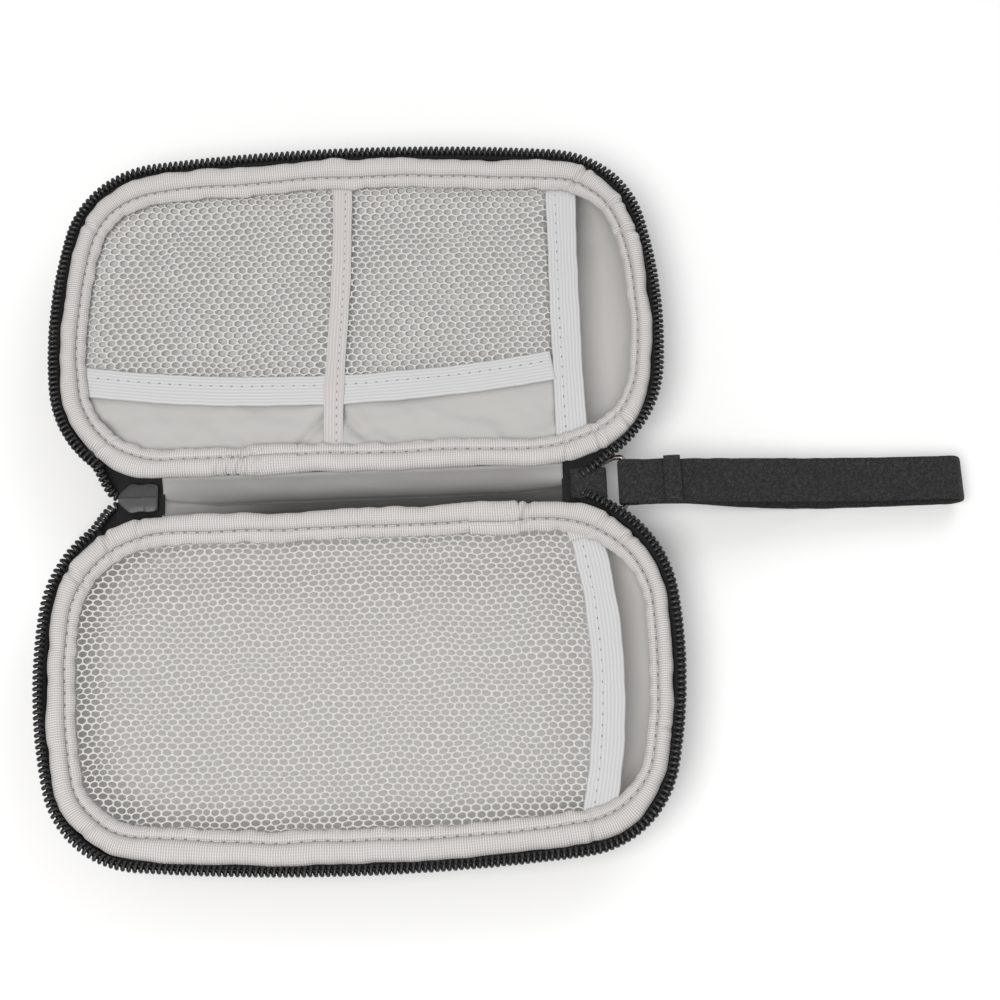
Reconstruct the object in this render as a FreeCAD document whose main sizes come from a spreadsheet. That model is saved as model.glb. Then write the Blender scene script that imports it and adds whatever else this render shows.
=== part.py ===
import FreeCAD, Part
import math
import os
import Sketcher

# A zipped cable organizer pouch, opened flat like a book. Both halves are the same padded tray,
# joined along the spine. The origin is the middle of the front half's base, +X runs along the
# spine towards the wrist strap, +Y from the front half to the back half, and +Z is up.

DRIVING = {
    # tray outline, measured from its widest line
    "half_width": 91.0,
    "front_reach": 58.3,
    "spine_reach": 46.0,
    "front_arc": 649.0,
    "side_arc": 149.0,
    "front_corner": 27.0,
    "spine_corner": 33.0,
    # tray section
    "tray_depth": 20.0,
    "base_round": 13.0,
    "shell_thick": 1.0,
    "foam_thick": 3.0,
    "lining_thick": 0.6,
    # rim binding
    "binding_width": 8.8,
    "binding_height": 3.8,
    "binding_inset": 1.5,
    # zip
    "tape_thick": 0.7,
    "tape_root": 4.0,
    "tape_lean": 1.5,
    "tape_rise": 1.6,
    "coil_inner": 1.4,
    "coil_outer": 4.0,
    "coil_height": 2.6,
    "zip_end_x": 77.5,
    # pockets
    "mesh_thick": 0.5,
    "panel_thick": 0.6,
    "elastic_thick": 1.0,
    "elastic_width": 9.6,
    "front_mouth_arc": 185.0,
    "front_mouth_x": 67.6,
    "front_mouth_y": -5.0,
    "back_mouth_x": 60.7,
    "sag_arc": 457.0,
    "sag_x": 12.0,
    "sag_y": 14.2,
    "divider_width": 6.0,
    "divider_front_x": 3.2,
    "divider_spine_x": 7.8,
    # spine
    "shell_gap": 11.8,
    "fold_spacing": 9.0,
    "strip_clear": 0.3,
    "strip_sag": 3.0,
    "strip_left": 59.5,
    "strip_right": 62.3,
    # zip ends and slider
    "end_tape_thick": 0.6,
    "end_tape_half": 5.4,
    "end_tape_left": 84.0,
    "zip_plane_drop": 1.35,
    "chain_half": 2.7,
    "chain_thick": 1.8,
    "chain_start": 67.0,
    "slider_nose_x": 72.3,
    "slider_wide_x": 67.8,
    "slider_tail_x": 60.3,
    "slider_half": 4.9,
    "slider_nose_half": 2.4,
    "slider_tail_half": 4.5,
    "slider_height": 4.8,
    "channel_height": 2.4,
    "channel_half": 4.1,
    "channel_slot": 1.2,
    "post_half": 1.2,
    "post_length": 2.8,
    "bridge_half": 1.2,
    "bridge_thick": 1.2,
    "bridge_gap": 2.2,
    "bridge_inset": 2.0,
    "pull_length": 20.6,
    "pull_half": 3.5,
    "pull_thick": 1.2,
    "pull_pin": 1.6,
    "pull_eye": 6.5,
    "pull_eye_half": 1.7,
    "pull_angle": 45.0,
    # ring, tab and wrist strap
    "web_thick": 0.9,
    "web_bend": 1.2,
    "tab_half": 4.8,
    "tab_start": 64.0,
    "tab_bar_x": 73.0,
    "ring_wire": 1.5,
    "ring_length": 7.6,
    "ring_side_clear": 0.25,
    "ring_corner": 1.2,
    "ring_shoulder": 3.0,
    "strap_half": 7.1,
    "strap_hem_x": 97.0,
    "strap_end_x": 84.6,
    "strap_ply_gap": 0.15,
    "strap_far_x": 181.0,
    "strap_far_bend": 4.0,
    "tack_thick": 0.5,
}

doc = FreeCAD.newDocument("cable_organizer_pouch")
sheet = doc.addObject("Spreadsheet::Sheet", "sizes")
for row, (alias, size) in enumerate(DRIVING.items(), start=1):
    sheet.set("A%d" % row, alias)
    sheet.set("B%d" % row, str(size))
    sheet.setAlias("B%d" % row, alias)
doc.recompute()

# Lengths that several pieces share, written in the sheet's own names.
WALL = "(sizes.shell_thick + sizes.foam_thick + sizes.lining_thick)"
FOLD_Y = "(sizes.spine_reach + sizes.shell_gap / 2)"
ZIP_Z = "(sizes.tray_depth - sizes.zip_plane_drop)"
RIM_Z = "sizes.tray_depth"
RING_BAR_X = "(sizes.tab_bar_x + sizes.ring_length)"
PULL_Z = "(%s - sizes.slider_height / 2 - sizes.bridge_gap / 2)" % ZIP_Z
PULL_X = "(-(sizes.slider_nose_x + sizes.slider_tail_x) / 2)"

nodes = []


def value(expression):
    """The number that an expression of the sheet's names gives."""
    return float(sheet.evalExpression(expression))


def new_body(name):
    body = doc.addObject("PartDesign::Body", name)
    body.Label = name
    nodes.append(body)
    return body


def new_sketch(body, role, lift="0"):
    """A sketch on one of the body's origin planes, lifted along the plane's normal."""
    plane = next(item for item in body.Origin.OriginFeatures if item.Role == role)
    sketch = body.newObject("Sketcher::SketchObject", body.Name + "_sketch")
    sketch.AttachmentSupport = [(plane, "")]
    sketch.MapMode = "FlatFace"
    sketch.setExpression("AttachmentOffset.Base.z", lift)
    return sketch


def bind(sketch, constraint, expression):
    index = sketch.addConstraint(constraint)
    sketch.setExpression("Constraints[%d]" % index, expression)


def place_point(sketch, index, point, across, up):
    """Hold one point of a sketch at two distances from the sketch's origin."""
    bind(sketch, Sketcher.Constraint("DistanceX", -1, 1, index, point, value(across)), across)
    bind(sketch, Sketcher.Constraint("DistanceY", -1, 1, index, point, value(up)), up)


def polygon(sketch, corners):
    """A closed run of straight lines through corners given as pairs of expressions."""
    points = [FreeCAD.Vector(value(across), value(up), 0) for across, up in corners]
    first = sketch.GeometryCount
    for start, end in zip(points, points[1:] + points[:1]):
        sketch.addGeometry(Part.LineSegment(start, end))
    for step in range(len(points)):
        after = first + (step + 1) % len(points)
        sketch.addConstraint(Sketcher.Constraint("Coincident", first + step, 2, after, 1))
    for step, (across, up) in enumerate(corners):
        place_point(sketch, first + step, 1, across, up)


def rectangle(sketch, low, high):
    polygon(sketch, [low, (high[0], low[1]), high, (low[0], high[1])])


def circle(sketch, across, up, radius):
    centre = FreeCAD.Vector(value(across), value(up), 0)
    index = sketch.addGeometry(Part.Circle(centre, FreeCAD.Vector(0, 0, 1), value(radius)))
    place_point(sketch, index, 3, across, up)
    bind(sketch, Sketcher.Constraint("Radius", index, value(radius)), radius)


def corner_centre(flat_reach, flat_radius, half_width, side_radius, corner_radius):
    """Centre of the corner arc that is tangent to the front arc and a side arc."""
    gap_front = flat_radius - corner_radius
    gap_side = side_radius - corner_radius
    front_y = flat_reach - flat_radius
    side_x = half_width - side_radius
    span = math.hypot(side_x, front_y)
    along = (gap_front ** 2 - gap_side ** 2 + span ** 2) / (2 * span)
    off = math.sqrt(gap_front ** 2 - along ** 2)
    unit = FreeCAD.Vector(side_x / span, -front_y / span, 0)
    normal = FreeCAD.Vector(-unit.y, unit.x, 0)
    points = [FreeCAD.Vector(0, front_y, 0) + unit * along + normal * side
              for side in (off, -off)]
    return max(points, key=lambda point: point.x)


def arc(sketch, centre, radius, start, end):
    """An anticlockwise arc between the directions of two points seen from its centre."""
    begin = math.atan2(start.y - centre.y, start.x - centre.x)
    finish = math.atan2(end.y - centre.y, end.x - centre.x)
    if finish < begin:
        finish += 2 * math.pi
    whole = Part.Circle(centre, FreeCAD.Vector(0, 0, 1), radius)
    return sketch.addGeometry(Part.ArcOfCircle(whole, begin, finish))


def toward(centre, far, radius):
    """The point of a circle on the line from a far centre through its own centre."""
    step = centre - far
    return centre + step * (radius / step.Length)


def outline(sketch, shrink, spine_inset="0"):
    """The tray's outline, moved in by shrink, and by spine_inset more along the spine.

    A straight spine edge, a shallow front arc and two side arcs, joined by four tangent corners.
    """
    grow = "(%s)" % shrink
    front_r = value("sizes.front_arc - " + grow)
    side_r = value("sizes.side_arc - " + grow)
    near_r = value("sizes.front_corner - " + grow)
    far_r = value("sizes.spine_corner - " + grow)
    reach = value("sizes.spine_reach - %s - %s" % (grow, spine_inset))
    side_x = value("sizes.half_width - sizes.side_arc")
    front_y = value("sizes.front_arc - sizes.front_reach")
    near = corner_centre(value("sizes.front_reach"), value("sizes.front_arc"),
                         value("sizes.half_width"), value("sizes.side_arc"),
                         value("sizes.front_corner"))
    far_y = reach - far_r
    far_x = side_x + math.sqrt((side_r - far_r) ** 2 - far_y ** 2)
    vector = FreeCAD.Vector
    front_c = vector(0, front_y, 0)
    right_c = vector(side_x, 0, 0)
    left_c = vector(-side_x, 0, 0)
    near_right = vector(near.x, -near.y, 0)
    near_left = vector(-near.x, -near.y, 0)
    far_right = vector(far_x, far_y, 0)
    far_left = vector(-far_x, far_y, 0)
    front_a = toward(near_left, front_c, near_r)
    front_b = toward(near_right, front_c, near_r)
    right_a = toward(near_right, right_c, near_r)
    right_b = toward(far_right, right_c, far_r)
    left_a = toward(far_left, left_c, far_r)
    left_b = toward(near_left, left_c, near_r)
    top_right = vector(far_x, reach, 0)
    top_left = vector(-far_x, reach, 0)
    arc(sketch, front_c, front_r, front_a, front_b)
    arc(sketch, near_right, near_r, front_b, right_a)
    arc(sketch, right_c, side_r, right_a, right_b)
    arc(sketch, far_right, far_r, right_b, top_right)
    sketch.addGeometry(Part.LineSegment(top_right, top_left))
    arc(sketch, far_left, far_r, top_left, left_a)
    arc(sketch, left_c, side_r, left_a, left_b)
    arc(sketch, near_left, near_r, left_b, front_a)
    for piece in range(8):
        sketch.addConstraint(Sketcher.Constraint("Tangent", piece, 2, (piece + 1) % 8, 1))
    radii = {0: "front_arc", 1: "front_corner", 2: "side_arc", 3: "spine_corner",
             5: "spine_corner", 6: "side_arc", 7: "front_corner"}
    for piece, name in radii.items():
        size = "sizes.%s - %s" % (name, grow)
        bind(sketch, Sketcher.Constraint("Radius", piece, value(size)), size)
    sketch.addConstraint(Sketcher.Constraint("PointOnObject", 0, 3, -2))
    sketch.addConstraint(Sketcher.Constraint("PointOnObject", 2, 3, -1))
    sketch.addConstraint(Sketcher.Constraint("PointOnObject", 6, 3, -1))
    sketch.addConstraint(Sketcher.Constraint("Horizontal", 4))
    bind(sketch, Sketcher.Constraint("DistanceY", -1, 1, 0, 3, front_y),
         "sizes.front_arc - sizes.front_reach")
    bind(sketch, Sketcher.Constraint("DistanceX", -1, 1, 2, 3, side_x),
         "sizes.half_width - sizes.side_arc")
    bind(sketch, Sketcher.Constraint("DistanceX", -1, 1, 6, 3, -side_x),
         "sizes.side_arc - sizes.half_width")
    bind(sketch, Sketcher.Constraint("DistanceY", -1, 1, 4, 1, reach),
         "sizes.spine_reach - %s - %s" % (grow, spine_inset))


def pad(body, sketch, length, middle=False):
    feature = body.newObject("PartDesign::Pad", body.Name + "_pad")
    feature.Profile = sketch
    feature.setExpression("Length", length)
    if middle:
        feature.SideType = "Symmetric"
    doc.recompute()
    return feature


def pocket(body, sketch, length=None, backwards=False, middle=False):
    """Cut a sketch out of the body, and stop if the cut took nothing away."""
    before = body.Shape.Volume
    feature = body.newObject("PartDesign::Pocket", body.Name + "_pocket")
    feature.Profile = sketch
    feature.Reversed = backwards
    if middle:
        feature.SideType = "Symmetric"
    if length is None:
        feature.Type = "ThroughAll"
    else:
        feature.setExpression("Length", length)
    doc.recompute()
    if not body.Shape.Volume < before - 0.01:
        raise RuntimeError("a pocket of %s cuts nothing" % body.Name)
    return feature


def round_edges_at(body, height, radius):
    """Fillet the level edges of the body that lie at one height."""
    base = body.Tip
    level = value(height)
    names = []
    for number, edge in enumerate(base.Shape.Edges, start=1):
        box = edge.BoundBox
        if abs(box.ZMin - level) < 1e-4 and abs(box.ZMax - level) < 1e-4:
            names.append("Edge%d" % number)
    feature = body.newObject("PartDesign::Fillet", body.Name + "_fillet")
    feature.Base = (base, names)
    feature.setExpression("Radius", radius)
    doc.recompute()
    return feature


def dish(shrink):
    """A solid with a rounded base that fills the tray inside one of its layers."""
    body = doc.addObject("PartDesign::Body", "dish")
    sketch = new_sketch(body, "XY_Plane", shrink)
    outline(sketch, shrink)
    pad(body, sketch, "sizes.tray_depth - " + shrink)
    round_edges_at(body, shrink, "sizes.base_round - " + shrink)
    return body


def tray_layer(name, outer, inner):
    """One layer of a tray: the skin between two dishes."""
    layer = doc.addObject("Part::Cut", name)
    layer.Label = name
    layer.Base = outer
    layer.Tool = inner
    nodes.append(layer)
    return layer


def ring(name, outside, inside, low, high, spine_inset="0"):
    """A flat ring that follows the tray's outline between two offsets and two heights."""
    body = new_body(name)
    sketch = new_sketch(body, "XY_Plane", low)
    outline(sketch, outside, spine_inset)
    pad(body, sketch, "%s - %s" % (high, low))
    sketch = new_sketch(body, "XY_Plane", high)
    outline(sketch, inside, spine_inset)
    pocket(body, sketch)
    return body


def open_spine(body):
    """Take away the stretch of a zip ring between its two ends at the spine."""
    sketch = new_sketch(body, "XY_Plane", "0")
    rectangle(sketch, ("-sizes.zip_end_x", "0"), ("sizes.zip_end_x", "2 * sizes.spine_reach"))
    pocket(body, sketch, backwards=True)


def loft(body, kind, low, high, low_shrink, high_shrink):
    lower = new_sketch(body, "XY_Plane", low)
    outline(lower, low_shrink)
    upper = new_sketch(body, "XY_Plane", high)
    outline(upper, high_shrink)
    doc.recompute()
    feature = body.newObject("PartDesign::" + kind, body.Name + "_loft")
    feature.Profile = lower
    feature.Sections = [upper]
    feature.Ruled = True
    doc.recompute()


def zip_tape(name):
    """One zip tape: sewn round the outside of the wall, then leaning out over the rim."""
    body = new_body(name)
    low = "(sizes.tray_depth - sizes.tape_root)"
    top = "(sizes.tray_depth + sizes.tape_rise)"
    sketch = new_sketch(body, "XY_Plane", low)
    outline(sketch, "-sizes.tape_thick")
    pad(body, sketch, "sizes.tape_root")
    loft(body, "AdditiveLoft", RIM_Z, top, "-sizes.tape_thick",
         "-sizes.tape_thick - sizes.tape_lean")
    sketch = new_sketch(body, "XY_Plane", RIM_Z)
    outline(sketch, "0")
    pocket(body, sketch)
    loft(body, "SubtractiveLoft", RIM_Z, top, "0", "-sizes.tape_lean")
    open_spine(body)
    return body


def zip_coil(name):
    low = "(sizes.tray_depth + sizes.tape_rise)"
    high = "(%s + sizes.coil_height)" % low
    body = ring(name, "-sizes.coil_outer", "-sizes.coil_inner", low, high)
    open_spine(body)
    return body


def binding(name):
    return ring(name, "0", "sizes.binding_width", RIM_Z,
                "(sizes.tray_depth + sizes.binding_height)", "sizes.binding_inset")


def panel(name, low, thick):
    """A flat panel that fills the tray's mouth inside the lining."""
    body = new_body(name)
    sketch = new_sketch(body, "XY_Plane", low)
    outline(sketch, WALL)
    pad(body, sketch, thick)
    return body


def keep_inside(body, across, up, radius):
    """Cut away all of a panel that lies outside a circle."""
    sketch = new_sketch(body, "XY_Plane", "0")
    far = "2 * sizes.half_width + %s" % radius
    rectangle(sketch, ("%s - (%s)" % (across, far), "%s - (%s)" % (up, far)),
              ("%s + %s" % (across, far), "%s + %s" % (up, far)))
    circle(sketch, across, up, radius)
    pocket(body, sketch, backwards=True)


def cut_circle(body, across, up, radius):
    sketch = new_sketch(body, "XY_Plane", "0")
    circle(sketch, across, up, radius)
    pocket(body, sketch, backwards=True)


def cut_box(body, low, high):
    sketch = new_sketch(body, "XY_Plane", "0")
    rectangle(sketch, low, high)
    pocket(body, sketch, backwards=True)


def half_layers(half, dishes):
    """The six pieces that both halves are made of."""
    return [
        tray_layer(half + "_outer_shell", dishes[0], dishes[1]),
        tray_layer(half + "_foam_pad", dishes[1], dishes[2]),
        tray_layer(half + "_lining", dishes[2], dishes[3]),
        binding(half + "_binding"),
        zip_tape(half + "_zip_tape"),
        zip_coil(half + "_zip_coil"),
    ]


def front_pocket():
    """The front half's mesh pocket, open at its right end along a bowed elastic."""
    arc_x = "(sizes.front_mouth_x - sizes.front_mouth_arc)"
    arc_y = "sizes.front_mouth_y"
    mesh = panel("front_mesh_pocket", "(sizes.tray_depth - sizes.mesh_thick)",
                 "sizes.mesh_thick")
    keep_inside(mesh, arc_x, arc_y, "sizes.front_mouth_arc")
    band = panel("front_mesh_elastic", "(sizes.tray_depth - sizes.elastic_thick)",
                 "sizes.elastic_thick")
    keep_inside(band, arc_x, arc_y, "(sizes.front_mouth_arc + sizes.elastic_width)")
    cut_circle(band, arc_x, arc_y, "sizes.front_mouth_arc")


def back_pockets():
    """The back half's slip pocket, with a shallow mesh pocket and its divider on top.

    They are drawn in the half's own frame, which is turned half a circle about +Z.
    """
    far = "(2 * sizes.half_width)"
    mouth = "-sizes.back_mouth_x"
    outer = "-(sizes.back_mouth_x + sizes.elastic_width)"
    slip_low = "(sizes.tray_depth - sizes.elastic_thick - sizes.panel_thick)"
    mesh_low = "(sizes.tray_depth - sizes.elastic_thick)"
    sag_y = "(sizes.sag_y - sizes.sag_arc)"
    slip = panel("back_slip_pocket", slip_low, "sizes.panel_thick")
    cut_box(slip, ("-" + far, "-" + far), (mouth, far))
    edge = panel("back_slip_elastic", slip_low, "sizes.elastic_thick + sizes.panel_thick")
    cut_box(edge, ("-" + far, "-" + far), (outer, far))
    cut_box(edge, (mouth, "-" + far), (far, far))
    mesh = panel("back_mesh_pocket", mesh_low, "sizes.mesh_thick")
    cut_box(mesh, ("-" + far, "-" + far), (mouth, far))
    keep_inside(mesh, "sizes.sag_x", sag_y, "sizes.sag_arc")
    band = panel("back_mesh_elastic", mesh_low, "sizes.elastic_thick")
    cut_box(band, ("-" + far, "-" + far), (mouth, far))
    keep_inside(band, "sizes.sag_x", sag_y, "(sizes.sag_arc + sizes.elastic_width)")
    cut_circle(band, "sizes.sag_x", sag_y, "sizes.sag_arc")
    divider = panel("back_divider_band", "(sizes.tray_depth - sizes.elastic_thick "
                    "+ sizes.mesh_thick)", "sizes.mesh_thick")
    half = "sizes.divider_width / 2"
    front_end = ("sizes.divider_front_x", "-sizes.front_reach")
    spine_end = ("sizes.divider_spine_x", "sizes.spine_reach")
    for side, sign in ((far, "+"), ("-" + far, "-")):
        sketch = new_sketch(divider, "XY_Plane", "0")
        polygon(sketch, [(side, "-" + far), ("%s %s %s" % (front_end[0], sign, half), "-" + far),
                         ("%s %s %s" % (front_end[0], sign, half), front_end[1]),
                         ("%s %s %s" % (spine_end[0], sign, half), spine_end[1]),
                         ("%s %s %s" % (spine_end[0], sign, half), far), (side, far)])
        pocket(divider, sketch, backwards=True)
    keep_inside(divider, "sizes.sag_x", sag_y, "sizes.sag_arc")
    return [slip, edge, mesh, band, divider]


def trough(name, drop, thick):
    """A strip along the spine whose section sags between the two trays."""
    body = new_body(name)
    half = "(sizes.shell_gap / 2 - sizes.strip_clear)"
    edge_z = "(%s - sizes.end_tape_thick / 2 - %s)" % (ZIP_Z, drop)
    radius = "((%s ^ 2 + sizes.strip_sag ^ 2) / (2 * sizes.strip_sag))" % half
    sketch = new_sketch(body, "YZ_Plane", "-sizes.strip_left")
    left = "%s - %s" % (FOLD_Y, half)
    right = "%s + %s" % (FOLD_Y, half)
    vector = FreeCAD.Vector
    size = value(radius)
    for step, level in enumerate((edge_z, "(%s - %s)" % (edge_z, thick))):
        centre = vector(value(FOLD_Y), value("%s - sizes.strip_sag + %s" % (level, radius)), 0)
        start = vector(value(left), value(level), 0)
        end = vector(value(right), value(level), 0)
        arc(sketch, centre, size, start, end)
        place_point(sketch, step, 1, left, level)
        place_point(sketch, step, 2, right, level)
        bind(sketch, Sketcher.Constraint("Radius", step, size), radius)
    low_z = value("%s - %s" % (edge_z, thick))
    for number, side in enumerate((left, right), start=1):
        line = sketch.addGeometry(Part.LineSegment(vector(value(side), value(edge_z), 0),
                                                   vector(value(side), low_z, 0)))
        sketch.addConstraint(Sketcher.Constraint("Coincident", line, 1, 0, number))
        sketch.addConstraint(Sketcher.Constraint("Coincident", line, 2, 1, number))
    pad(body, sketch, "sizes.strip_left + sizes.strip_right")


def left_zip_end():
    """The two tape ends and the stub of closed chain that the slider stands on."""
    body = new_body("zip_end_left")
    low = "(%s - sizes.end_tape_thick / 2)" % ZIP_Z
    half = "sizes.end_tape_half"
    inner_end = "-(sizes.slider_tail_x - sizes.chain_half)"
    sketch = new_sketch(body, "XY_Plane", low)
    rectangle(sketch, ("-sizes.end_tape_left", "%s - %s" % (FOLD_Y, half)),
              (inner_end, "%s + %s" % (FOLD_Y, half)))
    pad(body, sketch, "sizes.end_tape_thick")
    slot = "(sizes.post_half + 0.4)"
    sketch = new_sketch(body, "XY_Plane", low)
    rectangle(sketch, ("-sizes.end_tape_left - 1", "%s - %s" % (FOLD_Y, slot)),
              ("-sizes.chain_start - 1", "%s + %s" % (FOLD_Y, slot)))
    pocket(body, sketch, backwards=True)
    sketch = new_sketch(body, "XY_Plane", "%s - sizes.chain_thick / 2" % ZIP_Z)
    rectangle(sketch, ("-sizes.chain_start", "%s - sizes.chain_half" % FOLD_Y),
              (inner_end, "%s + sizes.chain_half" % FOLD_Y))
    pad(body, sketch, "sizes.chain_thick")


def right_zip_end():
    """The tape ends at the strap side, gathered into a thick seam inside the ring's tab."""
    body = new_body("zip_end_right")
    sketch = new_sketch(body, "XY_Plane", "%s - sizes.end_tape_thick / 2" % ZIP_Z)
    rectangle(sketch, ("sizes.strip_right - 3", "%s - sizes.end_tape_half" % FOLD_Y),
              ("sizes.tab_start + 5", "%s + sizes.end_tape_half" % FOLD_Y))
    pad(body, sketch, "sizes.end_tape_thick")
    sketch = new_sketch(body, "XY_Plane", "%s - sizes.web_bend" % ZIP_Z)
    rectangle(sketch, ("sizes.tab_start", "%s - sizes.tab_half" % FOLD_Y),
              ("sizes.tab_start + 5", "%s + sizes.tab_half" % FOLD_Y))
    pad(body, sketch, "2 * sizes.web_bend")


def ring_tab():
    """Webbing folded round the ring's short bar, one leg over and one under the seam."""
    body = new_body("ring_tab")
    bend = "sizes.web_bend"
    outer = "(sizes.web_bend + sizes.web_thick)"
    sketch = new_sketch(body, "XZ_Plane", "-" + FOLD_Y)
    rectangle(sketch, ("sizes.tab_start", "%s - %s" % (ZIP_Z, outer)),
              ("sizes.tab_bar_x", "%s + %s" % (ZIP_Z, outer)))
    pad(body, sketch, "2 * sizes.tab_half", middle=True)
    sketch = new_sketch(body, "XZ_Plane", "-" + FOLD_Y)
    circle(sketch, "sizes.tab_bar_x", ZIP_Z, outer)
    pad(body, sketch, "2 * sizes.tab_half", middle=True)
    sketch = new_sketch(body, "XZ_Plane", "-" + FOLD_Y)
    rectangle(sketch, ("sizes.tab_start - 1", "%s - %s" % (ZIP_Z, bend)),
              ("sizes.tab_bar_x", "%s + %s" % (ZIP_Z, bend)))
    pocket(body, sketch, middle=True)
    sketch = new_sketch(body, "XZ_Plane", "-" + FOLD_Y)
    circle(sketch, "sizes.tab_bar_x", ZIP_Z, bend)
    pocket(body, sketch, middle=True)


def channel(body, start, length, corners):
    """Cut a section, drawn across the slider, through it towards its nose."""
    sketch = new_sketch(body, "YZ_Plane", start)
    polygon(sketch, [("%s + %s" % (FOLD_Y, across), "%s + %s" % (ZIP_Z, up))
                     for across, up in corners])
    pocket(body, sketch, length)


def zip_slider():
    """The slider: two shield-shaped plates, the post between them and the pull's bridge."""
    body = new_body("zip_slider")
    nose = "-sizes.slider_nose_x"
    tail = "-sizes.slider_tail_x"
    wide = "-sizes.slider_wide_x"
    half = "sizes.slider_half"
    sketch = new_sketch(body, "XY_Plane", "%s - sizes.slider_height / 2" % ZIP_Z)
    side = [(nose, "sizes.slider_nose_half"), (wide, half), (tail, "sizes.slider_tail_half")]
    corners = [(x, "%s - %s" % (FOLD_Y, y)) for x, y in side]
    corners += [(x, "%s + %s" % (FOLD_Y, y)) for x, y in reversed(side)]
    polygon(sketch, corners)
    pad(body, sketch, "sizes.slider_height")
    wall = "sizes.channel_half"
    top = "(sizes.channel_height / 2)"
    slot = "(sizes.channel_slot / 2)"
    out = "(sizes.slider_half + 1)"
    post = "sizes.post_half"
    cross = [("-" + out, "-" + slot), ("-" + wall, "-" + slot), ("-" + wall, "-" + top),
             (wall, "-" + top), (wall, "-" + slot), (out, "-" + slot),
             (out, slot), (wall, slot), (wall, top), ("-" + wall, top), ("-" + wall, slot),
             ("-" + out, slot)]
    post_start = "(%s + sizes.post_length)" % nose
    channel(body, tail, "sizes.slider_nose_x - sizes.slider_tail_x - sizes.post_length", cross)
    for sign in ("-", ""):
        side_cut = [(sign + out, "-" + slot), (sign + wall, "-" + slot), (sign + wall, "-" + top),
                    (sign + post, "-" + top), (sign + post, top), (sign + wall, top),
                    (sign + wall, slot), (sign + out, slot)]
        channel(body, post_start, "sizes.post_length + 1", side_cut)
    plate = "(%s - sizes.slider_height / 2)" % ZIP_Z
    foot_a = "(%s + sizes.bridge_inset)" % nose
    foot_b = "(%s - sizes.bridge_inset)" % tail
    bottom = "(%s - sizes.bridge_gap - sizes.bridge_thick)" % plate
    bar_top = "(%s - sizes.bridge_gap)" % plate
    thick = "sizes.bridge_thick"
    sketch = new_sketch(body, "XZ_Plane", "-" + FOLD_Y)
    polygon(sketch, [(foot_a, plate), (foot_a, bottom), (foot_b, bottom), (foot_b, plate),
                     ("%s - %s" % (foot_b, thick), plate), ("%s - %s" % (foot_b, thick), bar_top),
                     ("%s + %s" % (foot_a, thick), bar_top),
                     ("%s + %s" % (foot_a, thick), plate)])
    pad(body, sketch, "2 * sizes.bridge_half", middle=True)


def zip_puller():
    """The pull: a flat tag with a pin that passes under the bridge, hanging to the ground."""
    body = new_body("zip_puller")
    pin = "sizes.pull_pin / 2"
    sketch = new_sketch(body, "XY_Plane", "-sizes.pull_thick / 2")
    rectangle(sketch, ("0", "-sizes.pull_half"), ("sizes.pull_length", "sizes.pull_half"))
    pad(body, sketch, "sizes.pull_thick")
    sketch = new_sketch(body, "XY_Plane", "sizes.pull_thick / 2")
    rectangle(sketch, ("-1", "-sizes.pull_eye_half"), ("sizes.pull_eye", "sizes.pull_eye_half"))
    pocket(body, sketch)
    sketch = new_sketch(body, "XZ_Plane", "0")
    circle(sketch, "0", "0", pin)
    pad(body, sketch, "2 * sizes.pull_half", middle=True)
    body.setExpression("Placement.Base.x", PULL_X)
    body.setExpression("Placement.Base.y", FOLD_Y)
    body.setExpression("Placement.Base.z", PULL_Z)
    body.setExpression("Placement.Rotation.Axis.x", "0")
    body.setExpression("Placement.Rotation.Axis.y", "1")
    body.setExpression("Placement.Rotation.Axis.z", "0")
    body.setExpression("Placement.Rotation.Angle", "sizes.pull_angle")


def rounded_path(points, radii, closed=False):
    """A wire of straight runs whose corners are tangent arcs, each with its own radius."""
    count = len(points)
    corners = range(count) if closed else range(1, count - 1)
    edges = []
    ends = {}
    for index in corners:
        here = points[index]
        back = (points[index - 1] - here).normalize()
        ahead = (points[(index + 1) % count] - here).normalize()
        reach = radii[index] / math.tan(back.getAngle(ahead) / 2)
        middle = (back + ahead).normalize()
        depth = radii[index] / math.sin(back.getAngle(ahead) / 2) - radii[index]
        ends[index] = (here + back * reach, here + ahead * reach)
        edges.append((index, Part.Arc(ends[index][0], here + middle * depth, ends[index][1])))
    shapes = []
    for index in range(count if closed else count - 1):
        start = ends[index][1] if index in ends else points[index]
        after = (index + 1) % count
        end = ends[after][0] if after in ends else points[after]
        if (end - start).Length > 1e-6:
            shapes.append(Part.LineSegment(start, end).toShape())
    shapes += [item.toShape() for _, item in edges]
    return Part.Wire(Part.__sortEdges__(shapes))


def add_shape(name, shape):
    """A sub-part whose shape is made directly, at its own place."""
    feature = doc.addObject("Part::Feature", name)
    feature.Label = name
    feature.Shape = shape
    nodes.append(feature)
    return feature


def d_ring():
    """The wire ring: a short bar in the tab, flaring to the long bar in the strap."""
    wire = value("sizes.ring_wire")
    near = value("sizes.tab_half + sizes.ring_side_clear") + wire / 2
    far = value("sizes.strap_half + sizes.ring_side_clear") + wire / 2
    left = value("sizes.tab_bar_x")
    right = value(RING_BAR_X)
    level = value(ZIP_Z)
    middle = value(FOLD_Y)
    radius = value("sizes.ring_corner")
    shoulder = right - value("sizes.ring_shoulder")
    side = [(left, near), (shoulder, far), (right, far)]
    corners = [FreeCAD.Vector(x, middle - y, level) for x, y in side]
    corners += [FreeCAD.Vector(x, middle + y, level) for x, y in reversed(side)]
    path = rounded_path(corners, [radius, 2 * radius, radius] * 2, closed=True)
    first = path.Edges[0]
    start = first.FirstParameter
    section = Part.Wire(Part.makeCircle(wire / 2, first.valueAt(start), first.tangentAt(start)))
    swept = path.makePipeShell([section], True, False)
    add_shape("d_ring", swept)


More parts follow.
